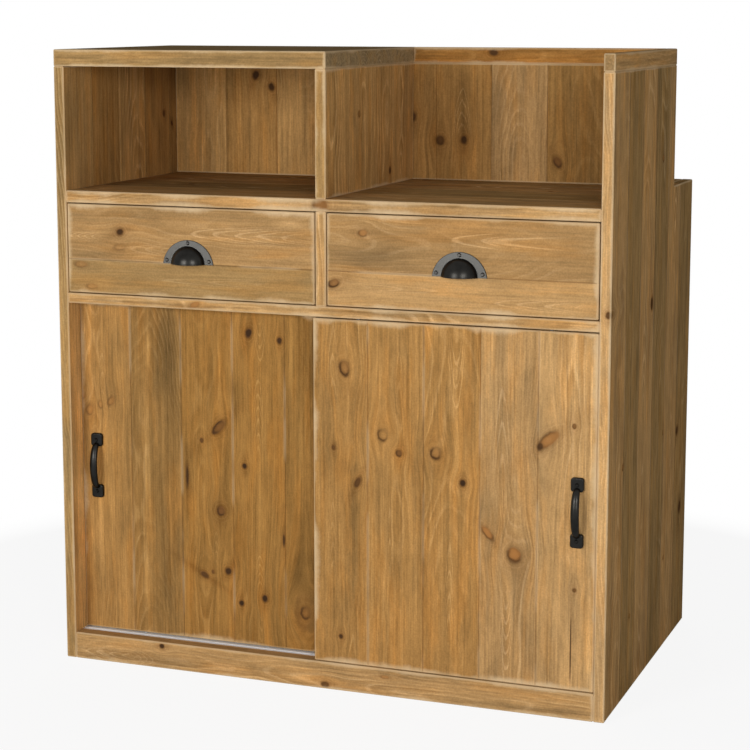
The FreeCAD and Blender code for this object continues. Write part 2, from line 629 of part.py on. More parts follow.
def drawer(hand, x):
    """One inset drawer: front, two sides, back, bottom, cup pull and its screws."""
    front_width = f"({DRAWER_OPENING} - 2 * drawer_gap)"
    front_height = "(drawer_opening_height - 2 * drawer_gap)"
    front_left = f"({x} + drawer_gap)"
    front_foot = f"({RAIL_TOP} + drawer_gap)"
    wall_foot = f"({RAIL_TOP} + running_clearance)"
    bottom_foot = f"({wall_foot} + drawer_bottom_rise)"
    groove_foot = f"({bottom_foot} - groove_clearance / 2)"
    groove_height = "(drawer_bottom_thickness + groove_clearance)"
    wall_length = f"({DRAWER_REAR} - drawer_front_thickness)"
    seam_height = "drawer_front_lower_board"
    cup_centre = f"({front_width} / 2)"

    front = board(f"{hand}_drawer_front", (front_left, "0", front_foot),
                  (front_width, "drawer_front_thickness", front_height))
    vee = [("0", f"{seam_height} - seam_width / 2"), ("seam_depth", seam_height),
           ("0", f"{seam_height} + seam_width / 2")]
    cut(front, "seam", outline(front, "seam_vee", "YZ_Plane", [vee]), reverse=True)
    groove = rectangle("drawer_groove_depth", groove_height, "drawer_front_thickness - drawer_groove_depth",
                       f"{groove_foot} - {front_foot}")
    cut(front, "bottom_groove", outline(front, "groove_section", "YZ_Plane", [groove]), reverse=True)
    pilots = [(f"{cup_centre} + {u}", f"{seam_height} + {v}") for u, v in cup_screw_spots()]
    cut(front, "pilot_holes", circles(front, "pilot_spots", "XZ_Plane", pilots, PILOT_RADIUS),
        "screw_bite + screw_clearance")

    left_wall, right_wall = drawer_wall_places(x)
    inner_left = f"({left_wall} + drawer_wall_thickness)"
    inner_width = f"({right_wall} - {inner_left})"
    for side, wall_x, groove_left in (("left", left_wall, "drawer_wall_thickness - drawer_groove_depth"),
                                      ("right", right_wall, "0")):
        wall = board(f"{hand}_drawer_{side}_side", (wall_x, "drawer_front_thickness", wall_foot),
                     ("drawer_wall_thickness", wall_length, "drawer_wall_height"))
        groove = rectangle("drawer_groove_depth", groove_height, groove_left, f"{groove_foot} - {wall_foot}")
        cut(wall, "bottom_groove", outline(wall, "groove_section", "XZ_Plane", [groove]))
    board(f"{hand}_drawer_back",
          (inner_left, f"{DRAWER_REAR} - drawer_wall_thickness", f"{bottom_foot} + drawer_bottom_thickness"),
          (inner_width, "drawer_wall_thickness", "drawer_back_height"))
    tongue = "(drawer_groove_depth - groove_clearance)"
    bottom = new_body(f"{hand}_drawer_bottom", f"{inner_left} - {tongue}",
                      f"drawer_front_thickness - {tongue}", bottom_foot)
    plan = rectangle(f"{inner_width} + 2 * {tongue}", f"{wall_length} + {tongue}")
    pad(bottom, "sheet", outline(bottom, "plan", "XY_Plane", [plan]), "drawer_bottom_thickness")

    base_x = f"({front_left} + {cup_centre})"
    base_z = f"({front_foot} + {seam_height})"
    cup_pull(f"{hand}_cup_pull", base_x, base_z)
    spots = [(f"{base_x} + {u}", "-cup_flange_thickness", f"{base_z} + {v}") for u, v in cup_screw_spots()]
    screw_group(f"{hand}_cup_pull_screws", spots, "+Y", "cup_flange_thickness")


def rounded(name, base, radius, chosen):
    """A shape with some of its edges rounded, those that chosen picks."""
    doc.recompute()
    round_off = doc.addObject("Part::Fillet", name)
    round_off.Base = base
    round_off.Edges = [(number, value(radius), value(radius))
                       for number, edge in enumerate(base.Shape.Edges, start=1) if chosen(edge)]
    return round_off


def bow_pull(label, x, y):
    """Iron bow pull: two rounded pads joined by a bar that swells and bows out along half an ellipse."""
    front = -value("pull_pad_thickness")
    pads = []
    for name, z in (("foot", "0"), ("head", "pull_length - pull_pad_length")):
        block = doc.addObject("Part::Box", f"{label}_{name}_block")
        block.setExpression("Length", sized("pull_pad_width"))
        block.setExpression("Width", sized("pull_pad_thickness"))
        block.setExpression("Height", sized("pull_pad_length"))
        block.setExpression("Placement.Base.x", sized("-pull_pad_width / 2"))
        block.setExpression("Placement.Base.y", sized("-pull_pad_thickness"))
        block.setExpression("Placement.Base.z", sized(z))
        plan = rounded(f"{label}_{name}_plan", block, "pull_pad_corner",
                       lambda edge: abs(edge.Vertexes[0].Y - edge.Vertexes[-1].Y) > SAME_PLACE)
        pads.append(rounded(f"{label}_{name}_pad", plan, "pull_pad_round",
                            lambda edge: all(abs(corner.Y - front) < SAME_PLACE for corner in edge.Vertexes)))
    sections = []
    for index in range(BOW_SECTIONS):
        angle = math.pi * index / (BOW_SECTIONS - 1)
        across, out = math.cos(angle), math.sin(angle)
        ring = doc.addObject("Part::Ellipse", f"{label}_section_{index + 1}")
        width = f"(pull_neck_width + {out:.6f} * (pull_bar_width - pull_neck_width))"
        ring.setExpression("MajorRadius", sized(f"{width} / 2"))
        ring.setExpression("MinorRadius", sized("pull_bar_thickness / 2"))
        lean = math.atan2(value(BOW_RISE) * across, -value("pull_bow_span") / 2 * out)
        ring.Placement = FreeCAD.Placement(
            FreeCAD.Vector(), FreeCAD.Rotation(FreeCAD.Vector(1, 0, 0), math.degrees(lean) % 360))
        ring.setExpression("Placement.Base.y", sized(f"-pull_pad_thickness / 2 - {out:.6f} * {BOW_RISE}"))
        ring.setExpression("Placement.Base.z", sized(f"pull_length / 2 + {across:.6f} * pull_bow_span / 2"))
        sections.append(ring)
    bow = doc.addObject("Part::Loft", f"{label}_bow")
    bow.Sections = sections
    bow.Solid = True
    whole = doc.addObject("Part::MultiFuse", f"{label}_whole")
    whole.Shapes = pads + [bow]
    holes = []
    for index, z in enumerate(("pull_pad_length / 2", "pull_length - pull_pad_length / 2")):
        hole = doc.addObject("Part::Cylinder", f"{label}_hole_{index + 1}")
        hole.setExpression("Radius", sized(PILOT_RADIUS))
        hole.setExpression("Height", sized("pull_pad_thickness"))
        hole.Placement = FreeCAD.Placement(FreeCAD.Vector(), FreeCAD.Rotation(FreeCAD.Vector(1, 0, 0), 90))
        hole.setExpression("Placement.Base.z", sized(z))
        holes.append(hole)
    drill = doc.addObject("Part::Compound", f"{label}_drill")
    drill.Links = holes
    pull = keep(doc.addObject("Part::Cut", label), label)
    pull.Base = whole
    pull.Tool = drill
    locate(pull, x, y, PULL_RISE)
    doc.recompute()


def door_panel(hand, edge, setback, pull_x):
    """A door of upright boards, drilled for its pull and its guide pins."""
    body = board(f"{hand}_door_panel", (edge, setback, DOOR_FOOT),
                 (DOOR_WIDTH, "door_thickness", DOOR_HEIGHT))
    upright_seams(body, "door_thickness", DOOR_WIDTH, DOOR_BOARD, "X_Axis")
    first_hole = f"{PULL_RISE} + pull_pad_length / 2 - {DOOR_FOOT}"
    pilots = [(f"{pull_x} - {edge}", first_hole),
              (f"{pull_x} - {edge}", f"{first_hole} + {PULL_SCREW_SPACING}")]
    cut(body, "pilot_holes", circles(body, "pilot_spots", "XZ_Plane", pilots, PILOT_RADIUS),
        "screw_bite + screw_clearance")
    seats = [(spot, "door_thickness / 2") for spot in door_fitting_spots()]
    cut(body, "guide_seats",
        circles(body, "seat_spots", "XY_Plane", seats, "guide_pin_diameter / 2", DOOR_HEIGHT),
        "guide_pin_seat")
    return body


def door_fitting_spots():
    """Where guide pins and glides sit along a door, from its left edge."""
    middle = "(glide_inset + glide_length / 2)"
    return [middle, f"{DOOR_WIDTH} - {middle}"]


def guide_pins(hand, edge, line):
    """Two pins in a door's top edge, running in the drawer rail's groove."""
    group = []
    for index, spot in enumerate(door_fitting_spots()):
        pin = doc.addObject("Part::Cylinder", f"{hand}_guide_pin_{index + 1}")
        pin.setExpression("Radius", sized("guide_pin_diameter / 2"))
        pin.setExpression("Height", sized("guide_pin_seat + door_head_gap + guide_pin_engagement"))
        locate(pin, f"{edge} + {spot}", line, f"{DOOR_FOOT} + {DOOR_HEIGHT} - guide_pin_seat")
        group.append(pin)
    pins = keep(doc.addObject("Part::Compound", f"{hand}_guide_pins"), f"{hand}_door_guide_pins")
    pins.Links = group
    doc.recompute()


def glides(hand, edge, line, top):
    """Two nylon tongues that stand in a track groove and carry a door."""
    group = []
    for index, spot in enumerate(door_fitting_spots()):
        tongue = doc.addObject("Part::Box", f"{hand}_glide_{index + 1}")
        tongue.setExpression("Length", sized("glide_length"))
        tongue.setExpression("Width", sized(GLIDE_THICKNESS))
        tongue.setExpression("Height", sized(f"{top} - {GLIDE_FOOT}"))
        locate(tongue, f"{edge} + {spot} - glide_length / 2", f"{line} - {GLIDE_THICKNESS} / 2", GLIDE_FOOT)
        group.append(tongue)
    pair = keep(doc.addObject("Part::Compound", f"{hand}_glides"), f"{hand}_door_glides")
    pair.Links = group
    doc.recompute()


def left_door():
    """The rear door: its glides are let into its bottom edge, straight above the rear groove."""
    pull_x = f"({LEFT_DOOR_EDGE} + pull_edge_inset)"
    body = door_panel("left", LEFT_DOOR_EDGE, REAR_DOOR_SETBACK, pull_x)
    slots = [rectangle("glide_length", GLIDE_THICKNESS, f"{spot} - glide_length / 2",
                       f"door_thickness / 2 - {GLIDE_THICKNESS} / 2") for spot in door_fitting_spots()]
    cut(body, "glide_slots", outline(body, "slot_plan", "XY_Plane", slots), "glide_seat", reverse=True)
    guide_pins("left", LEFT_DOOR_EDGE, REAR_DOOR_LINE)
    glides("left", LEFT_DOOR_EDGE, REAR_DOOR_LINE, f"({DOOR_FOOT} + glide_seat)")
    dress_door("left", pull_x, REAR_DOOR_SETBACK)


def right_door():
    """The front door: it stands over the bottom rail, so brackets reach back to the front groove."""
    pull_x = f"({RIGHT_INNER} - jamb_gap - pull_edge_inset)"
    back = "(front_door_setback + door_thickness)"
    body = door_panel("right", RIGHT_DOOR_EDGE, "front_door_setback", pull_x)
    holes = bracket_screw_spots()
    cut(body, "bracket_pilots",
        circles(body, "bracket_spots", "XZ_Plane", holes, PILOT_RADIUS, "-door_thickness"),
        "screw_bite + screw_clearance", reverse=True)
    guide_pins("right", RIGHT_DOOR_EDGE, FRONT_DOOR_LINE)
    glides("right", RIGHT_DOOR_EDGE, FRONT_GROOVE_LINE, DOOR_FOOT)
    brackets(back)
    spots = [(f"{RIGHT_DOOR_EDGE} + {u}", f"{back} + bracket_thickness", f"{DOOR_FOOT} + {v}")
             for u, v in holes]
    screw_group("right_door_bracket_screws", spots, "-Y", "bracket_thickness")
    dress_door("right", pull_x, "front_door_setback")


def bracket_screw_spots():
    """Two screws a bracket, from the front door's lower left corner."""
    return [(f"{spot} + {hand} * glide_length / 4", "bracket_height / 2") for spot in door_fitting_spots()
            for hand in (-1, 1)]


def brackets(back):
    """Angle brackets on the front door's back, each with a leg over its glide."""
    reach = f"({FRONT_GROOVE_LINE} + bracket_reach_past_glide - {back})"
    angle = [("0", "0"), (reach, "0"), (reach, "bracket_thickness"),
             ("bracket_thickness", "bracket_thickness"), ("bracket_thickness", "bracket_height"),
             ("0", "bracket_height")]
    group = []
    for index, spot in enumerate(door_fitting_spots()):
        body = doc.addObject("PartDesign::Body", f"right_bracket_{index + 1}")
        locate(body, f"{RIGHT_DOOR_EDGE} + {spot} - glide_length / 2", back, DOOR_FOOT)
        pad(body, "angle", outline(body, "angle_section", "YZ_Plane", [angle]), "glide_length")
        holes = [(f"glide_length / 2 + {hand} * glide_length / 4", "bracket_height / 2") for hand in (-1, 1)]
        cut(body, "screw_holes", circles(body, "hole_spots", "XZ_Plane", holes, PILOT_RADIUS))
        group.append(body)
    pair = keep(doc.addObject("Part::Compound", "right_brackets"), "right_door_brackets")
    pair.Links = group
    doc.recompute()


def dress_door(hand, pull_x, face):
    """A door's bow pull and its screws."""
    bow_pull(f"{hand}_door_pull", pull_x, face)
    spots = [(pull_x, f"{face} - pull_pad_thickness", f"{PULL_RISE} + {z}")
             for z in ("pull_pad_length / 2", "pull_length - pull_pad_length / 2")]
    screw_group(f"{hand}_door_pull_screws", spots, "+Y", "pull_pad_thickness")


def write_pieces():
    """Check every object and each piece's shape, then write one file for each piece."""
    doc.recompute()
    for item in doc.Objects:
        if "Invalid" in item.State or "Error" in item.State:
            raise RuntimeError(f"{item.Label} failed: {item.State}")
    for piece in pieces:
        if piece.Shape.isNull() or not piece.Shape.isValid() or not piece.Shape.Solids:
            raise RuntimeError(f"{piece.Label} has no sound shape")
    os.makedirs("parts", exist_ok=True)
    for piece in pieces:
        piece.Shape.exportStep(f"parts/{piece.Label}.step")


side_panels()
upper_carcass()
lower_carcass()
door_track()
track_screws()
drawer("left", "side_thickness")
drawer("right", DIVIDER_RIGHT)
left_door()
right_door()
write_pieces()
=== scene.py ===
"""Dress the packed pine storage counter and set it in a plain studio.

Every wooden piece gets a procedural pine finish that follows its own boards: figure along the board, knots,
stains, pale worn edges that are partly a painted highlight along every edge, and sanded joints. The left jamb
is painted paler as painted light. The metal and nylon pieces get finishes of their own, and the cup pulls'
flanges and screw heads are painted paler as a painted reflection. All sizes are in metres.
"""

import enum
import logging
import math
import random
from dataclasses import dataclass, replace
from functools import partial, reduce

import bpy
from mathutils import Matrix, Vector


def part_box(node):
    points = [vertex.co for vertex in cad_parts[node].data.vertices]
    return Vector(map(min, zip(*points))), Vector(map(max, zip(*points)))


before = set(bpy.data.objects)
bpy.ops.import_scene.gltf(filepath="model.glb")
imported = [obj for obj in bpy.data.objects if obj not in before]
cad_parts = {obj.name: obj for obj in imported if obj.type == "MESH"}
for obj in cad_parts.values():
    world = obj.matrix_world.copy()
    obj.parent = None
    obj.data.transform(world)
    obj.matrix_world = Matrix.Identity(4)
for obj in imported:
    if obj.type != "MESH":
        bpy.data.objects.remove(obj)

LOG = logging.getLogger("storage_counter")
IMAGE_PIXELS = 750
WHITE = (1.0, 1.0, 1.0)

FLOAT = "NodeSocketFloat"
VECTOR = "NodeSocketVector"
COLOUR = "NodeSocketColor"

FIGURE_PARTS = ("Late", "Early", "Fibre", "Olive", "Gold", "Blotch", "Tone")
KNOT_PARTS = ("Warp", "Core", "Rim", "Ink", "Halo", "Eye")

Span = tuple[float, float]
Place = tuple[float, float, float]
Colour = tuple[float, float, float]
Socket = bpy.types.NodeSocket
Tree = bpy.types.NodeTree
Material = bpy.types.Material


class Axis(enum.Enum):
    """An axis of the cabinet's frame."""

    X = 0
    Y = 1
    Z = 2


class Hand(enum.Enum):
    """The side that a drawer or door is on."""

    LEFT = "left"
    RIGHT = "right"


class Tint(enum.Enum):
    """The base colour that the stain left on a board."""

    CHESTNUT = (0.284, 0.144, 0.039)
    HONEY = (0.352, 0.187, 0.059)
    AMBER = (0.345, 0.164, 0.043)
    OLIVE = (0.277, 0.149, 0.047)
    DUSK = (0.320, 0.195, 0.076)
    BISCUIT = (0.370, 0.216, 0.086)
    TAN = (0.425, 0.250, 0.100)
    STRAW = (0.465, 0.262, 0.092)
    SAND = (0.490, 0.295, 0.125)
    MOSS = (0.275, 0.190, 0.093)
    RAW = (0.520, 0.340, 0.165)


CHESTNUT, HONEY, AMBER, OLIVE, DUSK, BISCUIT, TAN, STRAW, SAND, MOSS, RAW = Tint


@dataclass(frozen=True)
class PinePalette:
    """What growth, stain, wear and painted light do to a board's tint: seven colours multiply it, the others
    cover it.
    """

    olive: Colour = (0.80, 0.82, 0.86)
    gold: Colour = (1.12, 1.02, 0.88)
    early: Colour = (0.78, 0.74, 0.68)
    late: Colour = (1.44, 1.56, 1.85)
    # gleam pales streaks along the grain; on the left jamb it is a painted pool of light
    gleam: Colour = (1.52, 1.57, 1.64)
    stain: Colour = (0.58, 0.62, 0.68)
    halo: Colour = (0.55, 0.44, 0.34)
    core: Colour = (0.345, 0.150, 0.043)
    rim: Colour = (0.075, 0.035, 0.014)
    ink: Colour = (0.043, 0.023, 0.012)
    joint: Colour = (0.075, 0.042, 0.018)
    # bare and bare_fibre colour bared wood, and also the painted highlight along every edge
    bare: Colour = (0.730, 0.560, 0.355)
    bare_fibre: Colour = (0.500, 0.345, 0.178)


@dataclass(frozen=True)
class PineGrowth:
    """How a board lay in its trunk: where its heart line runs and sways, and how wide its rings are."""

    heart_spread: float = 0.062
    side_sway: float = 0.036
    deep_sway: float = 0.085
    lean: float = 0.20
    least_depth: float = 0.005
    depth_spread: float = 0.028
    least_ring: float = 0.0048
    ring_spread: float = 0.0032


@dataclass(frozen=True)
class Mark:
    """Something on a board, at its place along and across the grain. Its group has an input per field."""

    along: float
    across: float


@dataclass(frozen=True)
class Knot(Mark):
    """One knot: its half sizes on the board's face, its turn in degrees, and how strongly its parts show.

    A knot that shows on a board's edge also has a middle and half size through the board.
    """

    half_length: float
    half_width: float
    turn: float = 0.0
    core: float = 0.7
    rim: float = 0.6
    ink: float = 0.0
    deep: float = 0.0
    half_depth: float = 5.0


@dataclass(frozen=True)
class Streak(Mark):
    """A soft streak along the grain, darker or paler than the board."""

    half_length: float
    half_width: float
    weight: float


@dataclass(frozen=True)
class Arch(Mark):
    """Pale rings nested like arches: how far and how wide they open along the grain from the outer one's tip.

    A negative length opens them the other way.
    """

    length: float
    half_width: float
    lines: float
    weight: float


@dataclass(frozen=True)
class Wire:
    """An output in a node tree. Each sum, step or curve that it takes part in places nodes."""

    bench: "NodeBench"
    socket: Socket

    def __add__(self, other: "Feed") -> "Wire":
        """This value and another added."""
        return self.bench.math("ADD", self, other)

    def __sub__(self, other: "Feed") -> "Wire":
        """This value less another."""
        return self.bench.math("SUBTRACT", self, other)

    def __mul__(self, other: "Feed") -> "Wire":
        """This value times another."""
        return self.bench.math("MULTIPLY", self, other)

    def __truediv__(self, other: "Feed") -> "Wire":
        """This value over another."""
        return self.bench.math("DIVIDE", self, other)

    def between(self, low: "Feed", high: "Feed") -> "Wire":
        """A smooth step of this value, from 0 at low to 1 at high."""
        values = {"Value": self, "From Min": low, "From Max": high}
        return self.bench.out("ShaderNodeMapRange", "Result", values, interpolation_type="SMOOTHSTEP")

    def bell(self) -> "Wire":
        """A bell curve of this value: 1 at 0, falling away on both sides."""
        return self.bench.math("EXPONENT", self * self * -1.0)


Feed = Wire | float | Vector | tuple[float, ...]


@dataclass
class NodeBench:
    """Places and links nodes in one node tree."""

    tree: Tree

    def feed(self, socket: Socket, value: Feed) -> None:
        """Link an output to a socket, or set the socket's own value.

        Args:
            socket: the socket.
            value: the output, number, vector or colour for it.
        """
        if isinstance(value, Wire):
            self.tree.links.new(value.socket, socket)
        elif socket.type == "RGBA":
            socket.default_value = (*value, 1.0)
        else:
            socket.default_value = value

    def fill(self, node: bpy.types.Node, values: dict[str | int, Feed]) -> None:
        """Feed a node's inputs, by name or number."""
        for key, value in values.items():
            self.feed(node.inputs[key], value)

    def place(self, kind: str, values: dict[str | int, Feed], **settings: object) -> bpy.types.Node:
        """Place a node.

        Args:
            kind: the node's type name.
            values: what to feed its inputs, by name or number.
            settings: properties to set on it.

        Returns:
            The new node.
        """
        node = self.tree.nodes.new(kind)
        for name, value in settings.items():
            setattr(node, name, value)
        self.fill(node, values)
        return node

    def out(self, kind: str, key: str | int, values: dict[str | int, Feed], **settings: object) -> Wire:
        """Place a node and give one of its outputs, by name or number."""
        return Wire(self, self.place(kind, values, **settings).outputs[key])

    def group(self, tree: Tree, values: dict[str, Feed]) -> dict[str, Wire]:
        """Place a shared node group, fed by name, and give its outputs by name."""
        node = self.place("ShaderNodeGroup", values, node_tree=tree)
        return {output.name: Wire(self, output) for output in node.outputs}

    def math(self, operation: str, *values: Feed) -> Wire:
        """A Math node's result."""
        return self.out("ShaderNodeMath", 0, dict(enumerate(values)), operation=operation)

    def most(self, *values: Feed) -> Wire:
        """The highest of some values."""
        return reduce(partial(self.math, "MAXIMUM"), values)

    def least(self, *values: Feed) -> Wire:
        """The lowest of some values."""
        return reduce(partial(self.math, "MINIMUM"), values)

    def split(self, vector: Feed) -> list[Wire]:
        """The three components of a vector."""
        return [Wire(self, output) for output in self.place("ShaderNodeSeparateXYZ", {0: vector}).outputs]

    def join(self, x: Feed, y: Feed, z: Feed) -> Wire:
        """A vector of three components."""
        return self.out("ShaderNodeCombineXYZ", 0, {0: x, 1: y, 2: z})

    def noise(self, vector: Feed, scale: Feed, detail: float = 2.0, rough: float = 0.5) -> Wire:
        """Smooth noise from 0 to 1 over a vector."""
        values = {"Vector": vector, "Scale": scale, "Detail": detail, "Roughness": rough}
        return self.out("ShaderNodeTexNoise", "Fac", values)

    def blend(self, factor: Feed, first: Feed, second: Feed, mode: str = "MIX") -> Wire:
        """Two colours mixed by a factor."""
        values = {0: factor, 6: first, 7: second}
        return self.out("ShaderNodeMix", 2, values, data_type="RGBA", blend_type=mode)

    def toned(self, colour: Feed, factor: Feed, tone: Colour) -> Wire:
        """A colour turned by a factor towards its product with a tone."""
        return self.blend(factor, colour, self.blend(1.0, colour, tone, "MULTIPLY"))


def floats(*names: str) -> dict[str, str]:
    """Sockets for plain values, by name."""
    return dict.fromkeys(names, FLOAT)


class GroupDraft(NodeBench):
    """A new shared node group, with its named inputs and outputs."""

    def __init__(self, name: str, inputs: dict[str, str], outputs: dict[str, str]) -> None:
        """Start a group.

        Args:
            name: the group's name.
            inputs: each input's name and socket type.
            outputs: each output's name and socket type.
        """
        super().__init__(bpy.data.node_groups.new(name, "ShaderNodeTree"))
        for in_out, sockets in (("INPUT", inputs), ("OUTPUT", outputs)):
            for label, kind in sockets.items():
                self.tree.interface.new_socket(label, in_out=in_out, socket_type=kind)
        self.fed = {output.name: Wire(self, output) for output in self.place("NodeGroupInput", {}).outputs}

    def give(self, **values: Feed) -> Tree:
        """Feed the group's outputs, by name, and give its finished tree."""
        self.place("NodeGroupOutput", values)
        return self.tree


class SharedEffects:
    """The node groups that the finishes share, each built once."""

    def __init__(self) -> None:
        """Build every group."""
        self.layout = self._board_layout()
        self.edge = self._edge_distance()
        self.figure = self._pine_figure()
        self.knot = self._knot()
        self.streak = self._streak()
        # wear builds the worn edges together with the painted edge highlight
        self.arch = self._arches()
        self.wear = self._worn_edges()
        self.colour = self._pine_colour()
        self.patina = self._metal_patina()

    @staticmethod
    def _board_layout() -> Tree:
        """Which board of a panel a point lies on, and how far it is from the board's middle and from a joint.

        Returns:
            The group.
        """
        draft = GroupDraft("board_layout", floats("Across", "Start", "Width", "First", "Last"),
                           floats("Board", "Offset", "Seam"))
        fed = draft.fed
        run = fed["Across"] - fed["Start"]
        share = run / fed["Width"]
        board = draft.least(draft.most(draft.math("FLOOR", share), 0.0), fed["Last"])
        nearest = draft.most(draft.math("ROUND", share), fed["First"])
        joint = draft.least(nearest, draft.most(fed["Last"], 1.0))
        gap = draft.math("ABSOLUTE", share - joint)
        whole = draft.math("LESS_THAN", fed["Last"], 0.5)
        offset = run - (board + 0.5) * fed["Width"]
        return draft.give(Board=board, Offset=offset, Seam=gap * fed["Width"] + whole)

    @staticmethod
    def _edge_distance() -> Tree:
        """How far a point on a board is from the board's nearest edge.

        Above the step's height the board ends at the step's depth, and behind its depth it ends at its
        height. A plain board's step is its high corner.

        Returns:
            The group.
        """
        corners = ("Point", "Low", "High", "Step")
        draft = GroupDraft("edge_distance", dict.fromkeys(corners, VECTOR), floats("Edge"))
        point, low, high, step = (draft.split(draft.fed[name]) for name in corners)
        ends = list(high)
        for here, other in ((1, 2), (2, 1)):
            past = draft.math("GREATER_THAN", point[other], step[other])
            ends[here] = past * (step[here] - high[here]) + high[here]
        gaps = [draft.least(spot - start, end - spot) for spot, start, end in zip(point, low, ends)]
        inner = draft.least(draft.most(gaps[0], gaps[1]), gaps[2])
        return draft.give(Edge=draft.most(draft.least(gaps[0], gaps[1]), inner))

    @staticmethod
    def _pine_figure() -> Tree:
        """Growth rings about each board's own heart line, with fibres and broad patches of stain.

        The rings are solid: they show as arches on a face, lines on an edge and arcs on the end grain.

        Returns:
            The group.
        """
        inputs = floats("Along", "Offset", "Deep", "Board", "Seed", "Warp", "Figure")
        draft = GroupDraft("pine_figure", inputs, floats(*FIGURE_PARTS))
        fed, growth = draft.fed, PineGrowth()
        along, deep = fed["Along"], fed["Deep"]
        across = fed["Offset"] + fed["Warp"]
        name = fed["Board"] * 7.31 + fed["Seed"]
        lots = []
        for shift in (0.0, 31.7):
            lot = draft.out("ShaderNodeTexWhiteNoise", "Color", {"W": name + shift}, noise_dimensions="1D")
            parts = draft.place("ShaderNodeSeparateColor", {0: lot}).outputs
            lots += [Wire(draft, part) for part in parts]

        def drawn(long: float, wide: float, shift: float, detail: float = 2.0, rough: float = 0.58) -> Wire:
            """Noise drawn out along the grain, from its scales along and across."""
            place = draft.join(along * long, across * wide, deep * wide + (name + shift))
            return draft.noise(place, 1.0, detail, rough)

        fibre = (drawn(6.0, 290.0, 0.0, 3.0, 0.6) * 0.45 + drawn(48.0, 250.0, 0.0, 2.0, 0.6) * 0.25
                 + drawn(2.2, 105.0, 0.0, 2.0, 0.6) * 0.30)
        heart = (lots[0] - 0.5) * growth.heart_spread
        sideways = (drawn(1.7, 5.0, 0.0) - 0.5) * growth.side_sway + (across - heart)
        depth = lots[1] * growth.depth_spread + growth.least_depth
        depth = depth + ((lots[2] - 0.5) * growth.lean * along + deep)
        depth = (drawn(2.6, 5.0, 41.0) - 0.5) * growth.deep_sway + depth
        radius = draft.math("SQRT", sideways * sideways + depth * depth)
        ripple = drawn(8.0, 60.0, 67.0) - 0.5
        phase = ripple * 0.8 + radius / (lots[3] * growth.ring_spread + growth.least_ring)
        share = draft.math("FRACT", fibre * 0.45 + phase)
        level = (draft.math("ABSOLUTE", sideways) / radius).between(0.985, 0.50)
        shown = drawn(2.8, 15.0, 5.0).between(0.40, 0.62)
        strength = (level * 0.72 + 0.28) * (shown * 0.82 + 0.18) * (lots[5] * 0.7 + 0.45) * fed["Figure"]
        late = share.between(0.66, 0.86) * share.between(1.0, 0.93)
        early = share.between(0.10, 0.50) * share.between(0.80, 0.62)
        return draft.give(Late=late * strength, Early=early * strength, Fibre=fibre,
                          Olive=drawn(4.5, 24.0, 11.0, 3.0).between(0.46, 0.70),
                          Gold=drawn(6.0, 40.0, 23.0, 3.0).between(0.45, 0.70),
                          Blotch=drawn(11.0, 30.0, 87.0, 3.0), Tone=lots[4] - 0.5)

    @staticmethod
    def _knot() -> Tree:
        """One knot added to those before it: it pushes the figure aside and has a core, rim, ink and halo.

        Returns:
            The group.
        """
        draft = GroupDraft("knot", floats("Along", "Across", "Deep", *vars(Knot(0, 0, 0, 0)), *KNOT_PARTS),
                           floats(*KNOT_PARTS))
        fed = draft.fed
        half_length, half_width = fed["half_length"], fed["half_width"]
        core_weight, rim_weight, ink_weight = (fed[part] for part in ("core", "rim", "ink"))
        run, side, through = (fed[name] - fed[name.lower()] for name in ("Along", "Across", "Deep"))
        turn = draft.math("RADIANS", fed["turn"])
        cosine, sine = draft.math("COSINE", turn), draft.math("SINE", turn)
        long = (run * cosine + side * sine) / half_length
        wide = (side * cosine - run * sine) / half_width
        thick = through / fed["half_depth"]
        place = draft.join(fed["Along"], fed["Across"], fed["Deep"])
        ragged = draft.noise(place, 130.0, 3.0, 0.6) - 0.5
        squares = long * long + wide * wide + thick * thick
        reach = ragged * 0.48 + draft.math("SQRT", squares)
        weights = core_weight * 0.35 + rim_weight * 0.25 + ink_weight * 0.50
        tail = (run / (half_length * 3.2)).bell() * (wide * 0.75).bell() * thick.bell()
        halo = draft.most((reach * 0.58).bell(), tail * 0.7)
        core = reach.between(1.08, 0.78) * core_weight
        shaded = (long + wide).between(1.1, -0.7)
        rim = ((reach - 0.88) / 0.27).bell() * (shaded * 0.65 + 0.35) * rim_weight
        ink = reach.between(1.18, 0.56) * ink_weight
        wave = draft.math("SINE", reach * 8.5).between(0.45, 0.95)
        eye = wave * (reach * 0.52).bell() * weights
        pull = (run / (half_length * 3.6)).bell() * (side / (half_width * 3.0)).bell() * -0.82
        parts = {"Core": core, "Rim": rim, "Ink": ink, "Halo": halo * weights, "Eye": eye}
        return draft.give(Warp=pull * side + fed["Warp"],
                          **{label: draft.most(value, fed[label]) for label, value in parts.items()})

    @staticmethod
    def _streak() -> Tree:
        """One soft streak along the grain added to those before it.

        Returns:
            The group.
        """
        draft = GroupDraft("streak", floats("Along", "Across", *vars(Streak(0, 0, 0, 0, 0)), "Streak"),
                           floats("Streak"))
        fed = draft.fed
        run, side = fed["Along"] - fed["along"], fed["Across"] - fed["across"]
        ragged = draft.noise(draft.join(fed["Along"] * 9.0, fed["Across"] * 160.0, 3.0), 1.0, 3.0)
        wide = side / fed["half_width"] + (ragged - 0.5) * 0.9
        shown = (run / fed["half_length"]).bell() * wide.bell() * fed["weight"]
        return draft.give(Streak=draft.most(shown, fed["Streak"]))

